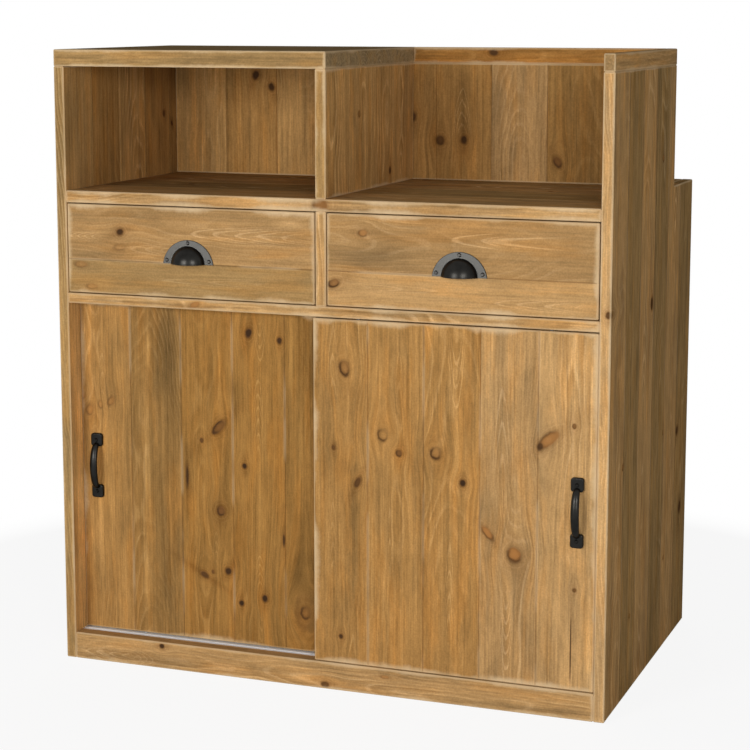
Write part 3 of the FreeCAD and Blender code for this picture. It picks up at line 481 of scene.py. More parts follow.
    @staticmethod
    def _arches() -> Tree:
        """Pale rings nested like arches, added to those before them.

        Returns:
            The group.
        """
        draft = GroupDraft("arches", floats("Along", "Across", *vars(Arch(0, 0, 0, 0, 0, 0)), "Arch"),
                           floats("Arch"))
        fed = draft.fed
        run = (fed["Along"] - fed["along"]) / fed["length"]
        side = (fed["Across"] - fed["across"]) / fed["half_width"]
        place = draft.join(fed["Along"] * 20.0, fed["Across"] * 120.0, fed["along"])
        ragged = draft.noise(place, 1.0, 3.0, 0.6) - 0.5
        level = ragged * 0.20 + (run - side * side)
        share = draft.math("FRACT", level * fed["lines"])
        line = share.between(0.0, 0.10) * share.between(0.40, 0.16)
        shown = line * level.between(-0.01, 0.01) * run.between(1.0, 0.55) * fed["weight"]
        return draft.give(Arch=draft.most(shown, fed["Arch"]))

    @staticmethod
    def _worn_edges() -> Tree:
        """Where sanding and wear bared the wood: in patches along the edges and at the joints between boards,
        and a thin pale line along every edge that is partly wear and partly a painted highlight of the eased
        edge.

        Returns:
            The group.
        """
        draft = GroupDraft("worn_edges", {"Point": VECTOR, **floats(
            "Edge", "Seam", "Reach", "Seam Weight", "Joint Weight", "Gap")}, floats("Worn", "Joint"))
        fed, point = draft.fed, draft.fed["Point"]
        patch = draft.noise(point, 7.0, 3.0, 0.6).between(0.36, 0.62)
        ragged = draft.noise(point, 150.0, 2.0, 0.6) - 0.5
        reach = fed["Reach"] * (patch * 0.95 + 0.25)
        edge = ragged * (reach * 0.5) + fed["Edge"]
        bared = edge.between(reach, 0.0) * (patch * 0.60 + 0.32)
        # A thin pale line along every edge: partly wear, partly a painted highlight of the eased edge.
        line = fed["Edge"].between(0.0036, 0.0008) * (patch * 0.40 + 0.52)
        rubbed = fed["Seam"].between(fed["Reach"] * 0.32, 0.0004)
        rubbed = rubbed * draft.noise(point, 9.0, 2.0).between(0.42, 0.62) * fed["Seam Weight"]
        joint = fed["Seam"].between(fed["Gap"], fed["Gap"] * 0.25)
        return draft.give(Worn=draft.most(bared, line, rubbed), Joint=joint * fed["Joint Weight"])

    @staticmethod
    def _pine_colour() -> Tree:
        """Stained pine's colour, roughness and relief from its figure, knots, streaks (one of them painted
        light on the jamb), wear and a painted edge highlight.

        Returns:
            The group.
        """
        values = (*FIGURE_PARTS, *KNOT_PARTS[1:], "Stain", "Gleam", "Arch", "Worn", "Joint", "Contrast")
        draft = GroupDraft("pine_colour", {"Tint": COLOUR, "Point": VECTOR, **floats(*values)},
                           {"Colour": COLOUR, **floats("Roughness", "Height")})
        fed, palette = draft.fed, PinePalette()
        fibre = fed["Fibre"]
        grit = draft.noise(fed["Point"], 360.0, 2.0)
        tone = ((fed["Tone"] * 0.10 + 1.0) * ((fibre * 2.1 - 1.05) * fed["Contrast"] + 1.0)
                * (fed["Blotch"] * 0.55 + 0.725) * (grit * 0.50 + 0.75))
        late = draft.most(fed["Late"], fed["Eye"], fed["Arch"])
        colour = draft.blend(1.0, fed["Tint"], draft.join(tone, tone, tone), "MULTIPLY")
        shares = {**fed, "Olive": fed["Olive"] * fed["Contrast"], "Late": late * 0.85}
        for name in ("Olive", "Gold", "Early", "Late", "Gleam", "Stain", "Halo"):
            colour = draft.toned(colour, shares[name], getattr(palette, name.lower()))
        for name in ("Core", "Rim", "Ink", "Joint"):
            colour = draft.blend(fed[name], colour, getattr(palette, name.lower()))
        # The bare colour covers worn wood and the painted edge highlight alike.
        bare = draft.blend(fibre, palette.bare, palette.bare_fibre)
        colour = draft.blend(fed["Worn"] * 0.90, colour, bare)
        return draft.give(Colour=colour, Roughness=fed["Worn"] * 0.14 + (fibre * 0.24 + 0.50),
                          Height=late * 0.5 + fibre - fed["Rim"] * 0.8)

    @staticmethod
    def _metal_patina() -> Tree:
        """Uneven handling marks on metal: a mottle for its colour and gloss, and its fine relief.

        Returns:
            The group.
        """
        draft = GroupDraft("metal_patina", {"Point": VECTOR, **floats("Coarse", "Fine")},
                           floats("Mottle", "Relief"))
        coarse, fine = (draft.noise(draft.fed["Point"], draft.fed[name], 3.0) for name in ("Coarse", "Fine"))
        return draft.give(Mottle=coarse.between(0.32, 0.68), Relief=fine)


def new_material(name: str) -> tuple[Material, NodeBench, bpy.types.Node]:
    """Start a material.

    Args:
        name: the material's name.

    Returns:
        The material, a bench for its nodes and its shader.
    """
    material = bpy.data.materials.new(name)
    material.use_nodes = True
    return material, NodeBench(material.node_tree), material.node_tree.nodes["Principled BSDF"]


@dataclass(frozen=True)
class PineFinish:
    """Stained and waxed pine over a panel of boards.

    The boards run along grain and lie side by side along across, from start, each width wide and with its own
    tint. Joints show from the first one on. Wear is how far in from an edge the wood is bared.
    """

    grain: Axis
    across: Axis
    tints: tuple[Tint, ...]
    start: float = 0.0
    width: float = 1.0
    seed: float = 0.0
    knots: tuple[Knot, ...] = ()
    stains: tuple[Streak, ...] = ()
    gleams: tuple[Streak, ...] = ()
    arches: tuple[Arch, ...] = ()
    wear: float = 0.006
    seam: float = 0.0
    joint: float = 0.35
    gap: float = 0.0013
    first: int = 1
    figure: float = 1.0
    contrast: float = 1.0
    step: Span | None = None
    relief: float = 0.0006
    bump: float = 0.35

    def dress(self, name: str, effects: SharedEffects) -> None:
        """Put the finish on one wooden piece.

        Args:
            name: the CAD node that it goes on.
            effects: the shared node groups.
        """
        material, bench, shader = new_material(f"pine_{name}")
        point = bench.out("ShaderNodeTexCoord", "Object", {})
        places = bench.split(point)
        deep_axis = ({0, 1, 2} - {self.grain.value, self.across.value}).pop()
        along, across, deep = places[self.grain.value], places[self.across.value], places[deep_axis]
        low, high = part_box(name)
        layout = bench.group(effects.layout, {
            "Across": across, "Start": self.start, "Width": self.width, "First": float(self.first),
            "Last": float(len(self.tints) - 1)})
        step = Vector((high.x, *self.step)) if self.step else high
        edge = bench.group(effects.edge, {"Point": point, "Low": low, "High": high, "Step": step})["Edge"]
        face = {"Along": along, "Across": across}
        knots = self._marks(bench, effects.knot, {**face, "Deep": deep}, self.knots, KNOT_PARTS)
        figure = bench.group(effects.figure, {
            "Along": along, "Offset": layout["Offset"], "Board": layout["Board"], "Seed": self.seed,
            "Deep": deep - low[deep_axis], "Warp": knots.pop("Warp"), "Figure": self.figure})
        # worn holds the wear and the painted edge highlight.
        worn = bench.group(effects.wear, {
            "Point": point, "Edge": edge, "Seam": layout["Seam"], "Reach": self.wear, "Gap": self.gap,
            "Seam Weight": self.seam, "Joint Weight": self.joint})
        fed = {"Tint": self._tint(bench, layout["Board"]), "Point": point, "Contrast": self.contrast,
               **figure, **knots, **worn}
        fed["Stain"] = self._marks(bench, effects.streak, face, self.stains, ("Streak",))["Streak"]
        fed["Gleam"] = self._marks(bench, effects.streak, face, self.gleams, ("Streak",))["Streak"]
        fed |= self._marks(bench, effects.arch, face, self.arches, ("Arch",))
        colour = bench.group(effects.colour, fed)
        bump = bench.out("ShaderNodeBump", "Normal", {
            "Strength": self.bump, "Distance": self.relief, "Height": colour["Height"]})
        bench.fill(shader, {"Base Color": colour["Colour"], "Roughness": colour["Roughness"], "Normal": bump,
                            "Specular IOR Level": 0.0})
        put_on(name, material)

    @staticmethod
    def _marks(bench: NodeBench, group: Tree, places: dict[str, Wire], marks: tuple[Mark, ...],
               labels: tuple[str, ...]) -> dict[str, Feed]:
        """Chain some of this panel's marks.

        Args:
            bench: the material's nodes.
            group: the node group that adds one mark.
            places: where a point lies, as the group's inputs.
            marks: the marks.
            labels: what each mark adds to.

        Returns:
            What all the marks do together, by label.
        """
        carried: dict[str, Feed] = dict.fromkeys(labels, 0.0)
        for mark in marks:
            carried = bench.group(group, {**places, **vars(mark), **carried})
        return carried

    def _tint(self, bench: NodeBench, board: Wire) -> Feed:
        """Each board's tint.

        Args:
            bench: the material's nodes.
            board: the board's number.

        Returns:
            The tint as a colour or an output.
        """
        count = len(self.tints)
        if count == 1:
            return self.tints[0].value
        ramp = bench.place("ShaderNodeValToRGB", {0: (board + 0.5) / float(count)})
        ramp.color_ramp.interpolation = "CONSTANT"
        stops = ramp.color_ramp.elements
        for index, tint in enumerate(self.tints):
            stop = stops[index] if index < 2 else stops.new(index / count)
            stop.position = index / count
            stop.color = (*tint.value, 1.0)
        return Wire(bench, ramp.outputs["Color"])


@dataclass(frozen=True)
class MetalFinish:
    """A metal's or moulding's colour where it is bright and where it is dull, its gloss and its relief.

    A piece with a plate is painted paler where it lies behind the plate's depth: a painted reflection of the
    studio on the flat flange.
    """

    bright: Colour
    dull: Colour
    metallic: float
    smooth: float
    rough: float
    coarse: float = 60.0
    fine: float = 900.0
    relief: float = 0.0001
    stretch: Place = (1.0, 1.0, 1.0)
    plate: float | None = None
    # paled is the flange's paler colour, a painted reflection
    rubbed: Colour = (0.064, 0.062, 0.057)
    bump: float = 0.4

    def dress(self, name: str, effects: SharedEffects) -> None:
        """Put the finish on one piece.

        Args:
            name: the CAD node that it goes on.
            effects: the shared node groups.
        """
        material, bench, shader = new_material(f"metal_{name}")
        point = bench.out("ShaderNodeTexCoord", "Object", {})
        stretched = bench.out("ShaderNodeVectorMath", 0, {0: point, 1: self.stretch}, operation="MULTIPLY")
        marks = bench.group(effects.patina, {"Point": stretched, "Coarse": self.coarse, "Fine": self.fine})
        colour = bench.blend(marks["Mottle"], self.bright, self.dull)
        if self.plate is not None:
            # Painted reflection: behind the plate's depth the flat flange turns paler, standing in for the
            # studio light it mirrors.
            flat = bench.split(point)[1].between(self.plate - 0.0010, self.plate - 0.0003)
            colour = bench.blend(flat, colour, self.rubbed)
        bump = bench.out("ShaderNodeBump", "Normal", {
            "Strength": self.bump, "Distance": self.relief, "Height": marks["Relief"]})
        rough = marks["Mottle"] * (self.rough - self.smooth) + self.smooth
        bench.fill(shader, {"Base Color": colour, "Roughness": rough, "Metallic": self.metallic,
                            "Normal": bump})
        put_on(name, material)


ALUMINIUM = MetalFinish((0.80, 0.80, 0.80), (0.68, 0.68, 0.69), metallic=0.25, smooth=0.45, rough=0.60,
                        coarse=25.0, fine=500.0, relief=0.00006, stretch=(0.06, 1.0, 1.0))
ZINC = MetalFinish((0.62, 0.62, 0.60), (0.48, 0.48, 0.47), metallic=1.0, smooth=0.26, rough=0.44,
                   coarse=180.0, fine=1500.0)
IRON = MetalFinish((0.023, 0.022, 0.020), (0.016, 0.0153, 0.0140), metallic=1.0, smooth=0.28, rough=0.36,
                   coarse=70.0, fine=420.0, relief=0.00012)
# Paler iron for the cup pulls' screw heads: a painted reflection, like the flange's.
PAINTED_SHEEN_IRON = replace(IRON, bright=(0.062, 0.060, 0.056), dull=(0.046, 0.044, 0.041))
NYLON = MetalFinish((0.055, 0.050, 0.045), (0.035, 0.032, 0.030), metallic=0.0, smooth=0.42, rough=0.58,
                    coarse=90.0, fine=700.0)


def put_on(name: str, material: Material) -> None:
    """Give a CAD node one material.

    Args:
        name: the CAD node.
        material: its material.
    """
    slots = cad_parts[name].data.materials
    slots.clear()
    slots.append(material)
    LOG.info("%s dressed in %s", name, material.name)


def scatter_knots(seed: int, along: Span, across: Span, count: int) -> tuple[Knot, ...]:
    """Knots strewn over a panel that the front view hardly shows.

    Args:
        seed: keeps the places the same on every run.
        along: the panel's reach along the grain.
        across: its reach across the grain.
        count: how many knots.

    Returns:
        The knots.
    """
    draw = random.Random(seed)
    knots = []
    for _ in range(count):
        size = draw.uniform(0.003, 0.009)
        dark = draw.random() < 0.5
        knots.append(Knot(draw.uniform(*along), draw.uniform(*across), size * draw.uniform(1.0, 1.7), size,
                          draw.uniform(-40, 40), core=0.75, rim=0.7, ink=0.85 if dark else 0.1))
    return tuple(knots)


@dataclass
class Carcass:
    """The fixed frame: sides, top, bays, shelf, rails, back and the inner pieces."""

    effects: SharedEffects
    front: float = -0.298
    left: float = -0.481
    side_board: float = 0.103
    back_board: float = 0.107
    shelf_board: float = 0.124
    top_board: float = 0.115
    divider_board: float = 0.110
    deck_board: float = 0.150
    deck_front: float = -0.280
    step_depth: float = 0.162
    step_height: float = 0.850
    skin: float = 0.0003

    def dress(self) -> None:
        """Dress every piece of the carcass."""
        for finishes in (self._sides(), self._bays(), self._rails(), self._inside()):
            for name, finish in finishes.items():
                finish.dress(name, self.effects)
        ALUMINIUM.dress("door_track", self.effects)
        ZINC.dress("track_screws", self.effects)

    def _faced(self, grain: Axis, board: float, seed: float, *tints: Tint, **looks: object) -> PineFinish:
        """A panel of boards from front to back, the first of which shows on the front edge alone."""
        return PineFinish(grain, Axis.Y, tints, self.front + self.skin - board, board, seed, first=2, **looks)

    def _sides(self) -> dict[str, PineFinish]:
        """The two stepped side panels.

        Returns:
            Each piece's finish.
        """
        step = (self.step_depth, self.step_height)
        edge_knot = Knot(0.68, self.front, 0.006, 0.02, core=0.8, ink=0.8, deep=0.4955, half_depth=0.0045)
        return {
            "left_side_panel": self._faced(
                Axis.Z, self.side_board, 3.0, DUSK, STRAW, HONEY, STRAW, HONEY, OLIVE, HONEY, step=step,
                # The gleam on the jamb, the side's inner face beside the recessed left door, is painted
                # light: it brightens the strip that the lamps leave dim.
                figure=0.7, wear=0.0045, gleams=(Streak(0.33, -0.266, 0.36, 0.024, 1.0),),
                stains=(Streak(0.96, -0.27, 0.09, 0.06, 0.7),),
                knots=(Knot(0.967, 0.091, 0.007, 0.005, ink=0.7),
                       *scatter_knots(5, (0.05, 1.0), (-0.20, 0.30), 9))),
            "right_side_panel": self._faced(
                Axis.Z, self.side_board, 17.0, SAND, TAN, DUSK, TAN, DUSK, TAN, DUSK, step=step, figure=0.8,
                wear=0.0045, seam=0.40, joint=0.55, gap=0.0034,
                knots=(edge_knot, *scatter_knots(8, (0.05, 1.0), (-0.26, 0.30), 8))),
        }

    def _bays(self) -> dict[str, PineFinish]:
        """The top, cap rails, upper back, divider and counter shelf round the open bays.

        Returns:
            Each piece's finish.
        """
        crossing_knot = Knot(
            -0.0005, self.front, 0.014, 0.03, core=0.8, ink=0.35, deep=0.84, half_depth=0.013)
        return {
            "top_board": self._faced(
                Axis.X, self.top_board, 23.0, DUSK, MOSS, MOSS, MOSS, MOSS, figure=0.5,
                gleams=(Streak(0.009, -0.07, 0.004, 0.4, 0.4),),
                knots=scatter_knots(11, (-0.45, 0.0), (-0.28, 0.14), 4)),
            "right_cap_rail": PineFinish(
                Axis.Y, Axis.X, (TAN,), 0.481, 0.019, 29.0, figure=0.3,
                stains=(Streak(self.front, 0.49, 0.004, 0.03, 1.0),)),
            "back_cap_rail": PineFinish(
                Axis.X, Axis.Z, (AMBER,), 1.066, 0.029, 31.0,
                knots=(Knot(0.165, 1.086, 0.009, 0.006, ink=0.85),)),
            "upper_back_panel": PineFinish(
                Axis.Z, Axis.X, (STRAW, HONEY, STRAW, STRAW, HONEY, HONEY, BISCUIT, OLIVE, HONEY), self.left,
                self.back_board, 37.0, wear=0.003, joint=0.08, figure=0.4,
                stains=(Streak(0.985, 0.105, 0.06, 0.018, 0.35),),
                arches=(Arch(1.02, 0.105, -0.105, 0.021, 5, 1.0),),
                knots=(Knot(1.04, -0.31, 0.0095, 0.007, 20, ink=0.95),
                       Knot(1.018, -0.278, 0.008, 0.006, -15, ink=0.9),
                       Knot(0.924, 0.063, 0.009, 0.008, core=0.5, rim=0.8, ink=0.7),
                       Knot(0.926, 0.109, 0.008, 0.006, ink=0.9), Knot(0.967, 0.009, 0.008, 0.006, ink=0.8),
                       Knot(0.889, 0.288, 0.011, 0.007, -30, 0.6, 0.9, 0.5),
                       Knot(0.99, 0.4, 0.006, 0.005, ink=0.3))),
            "upper_divider": self._faced(
                Axis.Z, self.divider_board, 41.0, DUSK, STRAW, STRAW, STRAW, STRAW, wear=0.008, joint=0.2,
                gleams=(Streak(0.96, -0.11, 0.14, 0.004, 0.6),),
                knots=(Knot(0.876, 0.016, 0.007, 0.005, ink=0.8), Knot(0.985, -0.14, 0.006, 0.005, ink=0.2))),
            "counter_shelf": self._faced(
                Axis.X, self.shelf_board, 43.0, TAN, TAN, DUSK, TAN, DUSK, DUSK, wear=0.011,
                stains=(Streak(-0.24, self.front, 0.05, 0.02, 0.35),
                        Streak(0.16, self.front, 0.1, 0.02, 0.25)),
                gleams=(Streak(-0.11, self.front, 0.05, 0.02, 0.35),
                        Streak(0.37, self.front, 0.07, 0.02, 0.35)),
                knots=(crossing_knot, *scatter_knots(14, (-0.4, 0.4), (-0.2, 0.3), 6))),
        }

    @staticmethod
    def _rails() -> dict[str, PineFinish]:
        """The front's rails and the stile between the drawers.

        Returns:
            Each piece's finish.
        """
        return {
            "drawer_divider": PineFinish(Axis.Z, Axis.X, (TAN,), -0.0095, 0.019, 47.0, wear=0.007),
            "drawer_rail": PineFinish(
                Axis.X, Axis.Z, (TAN,), 0.651, 0.018, 53.0, wear=0.009,
                stains=(Streak(-0.3, 0.657, 0.1, 0.005, 0.5), Streak(0.17, 0.662, 0.16, 0.005, 0.5)),
                knots=(Knot(-0.234, 0.66, 0.01, 0.005, 20, rim=0.3),)),
            "bottom_rail": PineFinish(
                Axis.X, Axis.Z, (TAN,), 0.0, 0.048, 59.0, wear=0.007,
                arches=(Arch(-0.465, 0.016, 0.13, 0.015, 5, 0.8), Arch(-0.325, 0.012, -0.05, 0.02, 4, 0.6)),
                stains=(Streak(0.32, 0.01, 0.12, 0.008, 0.7),),
                knots=(Knot(-0.308, 0.041, 0.005, 0.0045, ink=0.95),
                       Knot(0.006, 0.008, 0.008, 0.005, ink=0.7),
                       Knot(0.116, 0.034, 0.009, 0.003, core=0.5, rim=0.4))),
        }

    def _inside(self) -> dict[str, PineFinish]:
        """The back, deck, shelf, cleats, runners and stops, which show when the doors or drawers stand open.

        Returns:
            Each piece's finish.
        """
        finishes = {"lower_back_panel": PineFinish(
            Axis.Z, Axis.X, (OLIVE, HONEY, AMBER, HONEY, OLIVE, HONEY, HONEY, AMBER, OLIVE), self.left,
            self.back_board, 61.0, knots=scatter_knots(21, (0.05, 0.80), (-0.46, 0.46), 12))}
        for index, name in enumerate(("bottom_panel", "inner_shelf")):
            finishes[name] = PineFinish(
                Axis.X, Axis.Y, (RAW,) * 4, self.deck_front, self.deck_board, 67.0 + index, wear=0.002,
                knots=scatter_knots(31 + index, (-0.45, 0.45), (-0.25, 0.28), 7))
        lengthwise = ("left_drawer_runner", "centre_drawer_runner", "right_drawer_runner", "left_deck_cleat",
                      "right_deck_cleat", "left_shelf_cleat", "right_shelf_cleat", "drawer_stops")
        for index, name in enumerate(lengthwise):
            low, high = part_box(name)
            finishes[name] = PineFinish(
                Axis.Y, Axis.X, (RAW,), low.x, high.x - low.x, 71.0 + index, wear=0.002)
        return finishes


@dataclass(frozen=True)
class FrontMarks:
    """What shows on one drawer front or door panel."""

    knots: tuple[Knot, ...]
    stains: tuple[Streak, ...]
    gleams: tuple[Streak, ...]
    arches: tuple[Arch, ...]


@dataclass
class Drawer:
    """One drawer: its front of two boards, its box and its cup pull."""

    effects: SharedEffects
    hand: Hand
    tints: tuple[Tint, Tint]
    marks: FrontMarks
    seed: float
    plate: float = -0.300
    seam_height: float = 0.730
    front_board: float = 0.100
    box_foot: float = 0.660
    box_height: float = 0.140
    box_front: float = -0.100

    def dress(self) -> None:
        """Dress the front, the box and the pull."""
        name = f"{self.hand.value}_drawer"
        foot = self.seam_height - self.front_board
        finishes = {"front": PineFinish(
            Axis.X, Axis.Z, self.tints, foot, self.front_board, self.seed, **vars(self.marks), wear=0.011,
            seam=0.5, joint=0.2, figure=0.6, contrast=0.6)}
        walls = {"left_side": Axis.Y, "right_side": Axis.Y, "back": Axis.X}
        for index, (wall, grain) in enumerate(walls.items()):
            finishes[wall] = PineFinish(
                grain, Axis.Z, (RAW,), self.box_foot, self.box_height, self.seed + 2.0 + index, wear=0.002)
        finishes["bottom"] = PineFinish(
            Axis.X, Axis.Y, (RAW,), self.box_front, 1.0, self.seed + 6.0, wear=0.001)
        for piece, finish in finishes.items():
            finish.dress(f"{name}_{piece}", self.effects)
        # The cup pull's flange is painted paler, a painted reflection.
        replace(IRON, plate=self.plate).dress(f"{self.hand.value}_cup_pull", self.effects)
        PAINTED_SHEEN_IRON.dress(f"{self.hand.value}_cup_pull_screws", self.effects)


@dataclass
class SlidingDoor:
    """One sliding door: its panel of upright boards, its bow pull and its running gear."""

    effects: SharedEffects
    hand: Hand
    tints: tuple[Tint, ...]
    marks: FrontMarks
    seed: float

    def dress(self) -> None:
        """Dress the panel, the pull and the running gear."""
        name = f"{self.hand.value}_door"
        low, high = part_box(f"{name}_panel")
        panel = PineFinish(
            Axis.Z, Axis.X, self.tints, low.x, (high.x - low.x) / len(self.tints), self.seed,
            **vars(self.marks), wear=0.012, seam=0.38, joint=0.10, figure=0.6)
        panel.dress(f"{name}_panel", self.effects)
        gear = {"pull": IRON, "pull_screws": IRON, "guide_pins": NYLON, "glides": NYLON, "brackets": ZINC,
                "bracket_screws": ZINC}
        for piece, finish in gear.items():
            if f"{name}_{piece}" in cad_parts:
                finish.dress(f"{name}_{piece}", self.effects)


LEFT_DRAWER_MARKS = FrontMarks(knots=(
    Knot(-0.376, 0.781, 0.0072, 0.006, 20, ink=0.95), Knot(-0.377, 0.754, 0.013, 0.006, 10, 0.1, 0.4),
    Knot(-0.454, 0.721, 0.014, 0.006, 0, 0.35, 0.4), Knot(-0.433, 0.683, 0.012, 0.005, 0, 0.35, 0.4),
), stains=(
    Streak(-0.17, 0.812, 0.12, 0.008, 0.25), Streak(-0.42, 0.738, 0.07, 0.006, 0.6),
    Streak(-0.38, 0.806, 0.08, 0.01, 0.4),
), gleams=(
    Streak(-0.06, 0.806, 0.03, 0.006, 0.5),
), arches=(
    Arch(-0.245, 0.783, 0.26, 0.021, 6, 0.95), Arch(-0.475, 0.771, 0.07, 0.012, 5, 0.7),
    Arch(-0.36, 0.752, 0.09, 0.012, 3, 0.6), Arch(-0.3, 0.7, 0.25, 0.01, 3, 0.5),
))
RIGHT_DRAWER_MARKS = FrontMarks(knots=(
    Knot(0.076, 0.796, 0.008, 0.006, 0, 0.6, 0.6), Knot(0.024, 0.71, 0.011, 0.007, 25, 0.6, 1.0, 0.3),
), stains=(
    Streak(0.1, 0.757, 0.08, 0.018, 0.55), Streak(0.05, 0.752, 0.04, 0.01, 0.4),
), gleams=(), arches=(
    Arch(0.229, 0.791, 0.1, 0.015, 2, 1.0), Arch(0.282, 0.791, 0.16, 0.012, 1, 0.9),
    Arch(0.3, 0.69, 0.18, 0.014, 4, 0.6), Arch(0.21, 0.705, -0.17, 0.01, 3, 0.5),
))
LEFT_DOOR_MARKS = FrontMarks(knots=(
    Knot(0.609, -0.151, 0.0095, 0.0062, 15, ink=1.0), Knot(0.599, -0.093, 0.0065, 0.005, ink=0.95),
    Knot(0.439, -0.209, 0.016, 0.0075, 45, 0.5, 1.0, 0.45), Knot(0.413, -0.243, 0.0045, 0.0035, ink=0.7),
    Knot(0.373, -0.161, 0.0052, 0.0046, ink=1.0), Knot(0.346, -0.272, 0.02, 0.0028, 0, 0.4, 0.5, 0.9),
    Knot(0.288, -0.207, 0.0085, 0.0078, 0, 0.9, 1.0, 0.6), Knot(0.18, -0.194, 0.0068, 0.0064, 30, ink=0.95),
    Knot(0.169, -0.241, 0.009, 0.0055, -60, ink=0.8), Knot(0.176, -0.224, 0.004, 0.003, ink=0.6),
    Knot(0.124, -0.169, 0.0056, 0.005, ink=1.0), Knot(0.137, -0.124, 0.0068, 0.0058, ink=1.0),
    Knot(0.246, -0.087, 0.012, 0.0024, 0, 0.4, 0.4, 0.9), Knot(0.119, -0.046, 0.012, 0.01, 10, 0.3, 0.9, 0.2),
    Knot(0.12, -0.047, 0.034, 0.019, 0, 0.1, 0.35), Knot(0.478, -0.479, 0.007, 0.006, 0, 0.6, 0.5),
    Knot(0.453, -0.464, 0.011, 0.008, 20, 0.35, 0.5), Knot(0.464, -0.442, 0.008, 0.005, 0, 0.25, 0.45),
    Knot(0.471, -0.421, 0.01, 0.006, 35, 0.35, 0.5),
), stains=(
    Streak(0.54, -0.312, 0.13, 0.026, 0.65), Streak(0.31, -0.33, 0.16, 0.028, 0.4),
    Streak(0.14, -0.31, 0.09, 0.025, 0.45), Streak(0.58, -0.024, 0.14, 0.018, 0.75),
    Streak(0.21, -0.052, 0.12, 0.026, 0.55), Streak(0.47, -0.06, 0.2, 0.012, 0.35),
    Streak(0.41, -0.39, 0.1, 0.016, 0.4), Streak(0.47, -0.022, 0.2, 0.01, 0.5),
), gleams=(
    Streak(0.568, -0.346, 0.03, 0.004, 0.9), Streak(0.34, -0.351, 0.1, 0.0065, 0.8),
    Streak(0.18, -0.357, 0.1, 0.0045, 0.7), Streak(0.25, -0.447, 0.08, 0.0035, 0.7),
    Streak(0.56, -0.071, 0.1, 0.0035, 0.7), Streak(0.41, -0.056, 0.1, 0.0055, 0.6),
    Streak(0.32, -0.132, 0.08, 0.005, 0.5), Streak(0.6, -0.46, 0.1, 0.014, 0.35),
), arches=(
    Arch(0.53, -0.134, -0.17, 0.017, 7, 0.85), Arch(0.56, -0.13, 0.085, 0.014, 4, 0.8),
    Arch(0.214, -0.133, -0.075, 0.014, 5, 0.8), Arch(0.055, -0.131, 0.06, 0.01, 3, 0.5),
    Arch(0.25, -0.217, -0.07, 0.01, 4, 0.6), Arch(0.56, -0.438, -0.1, 0.012, 3, 0.5),
))
RIGHT_DOOR_MARKS = FrontMarks(knots=(
    Knot(0.566, 0.042, 0.014, 0.0088, -10, 0.3, 1.0, 0.2), Knot(0.456, 0.111, 0.011, 0.0092, 0, 0.05, 0.85),
    Knot(0.427, 0.14, 0.006, 0.0055, 0, 0.9, 0.9, 0.6), Knot(0.432, 0.205, 0.0108, 0.0094, 0, 0.1, 1.0, 0.15),
    Knot(0.385, 0.253, 0.0062, 0.0056, ink=1.0), Knot(0.469, 0.399, 0.023, 0.0095, 50, 0.75, 0.7, 0.05),
    Knot(0.457, 0.385, 0.0075, 0.0055, 20, 0.5, 0.6, 0.75), Knot(0.495, 0.442, 0.0045, 0.0035, ink=0.5),
    Knot(0.371, 0.066, 0.01, 0.0048, 25, 0.6, 0.8, 0.75), Knot(0.304, 0.296, 0.015, 0.0062, -40, 0.85, 0.7),
    Knot(0.271, 0.343, 0.0135, 0.0118, -20, 0.9, 0.85), Knot(0.097, 0.035, 0.0045, 0.004, ink=0.9),
    Knot(0.221, 0.446, 0.0035, 0.0035, ink=0.6), Knot(0.117, 0.441, 0.067, 0.0013, 0, 0.0, 0.0, 0.85),
    Knot(0.428, 0.022, 0.0045, 0.0035, ink=0.7),
), stains=(
    Streak(0.31, 0.055, 0.08, 0.012, 0.8), Streak(0.392, 0.052, 0.016, 0.014, 0.7),
    Streak(0.46, 0.228, 0.05, 0.014, 0.35), Streak(0.13, 0.405, 0.12, 0.01, 0.3),
    Streak(0.34, 0.3, 0.035, 0.018, 0.4), Streak(0.51, 0.388, 0.06, 0.007, 0.4),
    Streak(0.56, 0.135, 0.08, 0.03, 0.25),
), gleams=(
    Streak(0.45, 0.243, 0.06, 0.006, 0.6), Streak(0.22, 0.232, 0.09, 0.004, 0.5),
    Streak(0.56, 0.3, 0.1, 0.01, 0.3), Streak(0.47, 0.47, 0.2, 0.004, 0.5),
    Streak(0.12, 0.472, 0.1, 0.005, 0.8), Streak(0.6, 0.42, 0.06, 0.04, 0.3),
), arches=(
    Arch(0.505, 0.24, 0.15, 0.018, 4, 0.9), Arch(0.552, 0.32, -0.17, 0.018, 3, 0.75),
    Arch(0.068, 0.33, 0.16, 0.017, 6, 0.9), Arch(0.335, 0.124, -0.16, 0.008, 3, 0.7),
    Arch(0.28, 0.23, -0.21, 0.013, 5, 0.7), Arch(0.64, 0.021, -0.18, 0.014, 4, 0.6),
    Arch(0.33, 0.02, -0.16, 0.013, 5, 0.5), Arch(0.6, 0.14, -0.14, 0.011, 3, 0.5),
))


@dataclass(frozen=True)
class Softbox:
    """A square soft light: its name, place, side and power in watts."""

    name: str
    place: Place
    side: float
    power: float

    def stand(self, aim: Vector) -> None:
        """Set the light up.

        Args:
            aim: the point that it faces.
        """
        lamp = bpy.data.lights.new(self.name, "AREA")
        lamp.shape = "SQUARE"
        lamp.size = self.side
        lamp.energy = self.power
        stand = bpy.data.objects.new(self.name, lamp)
        stand.location = self.place
        stand.rotation_euler = (aim - Vector(self.place)).to_track_quat("-Z", "Y").to_euler()
        bpy.context.scene.collection.objects.link(stand)


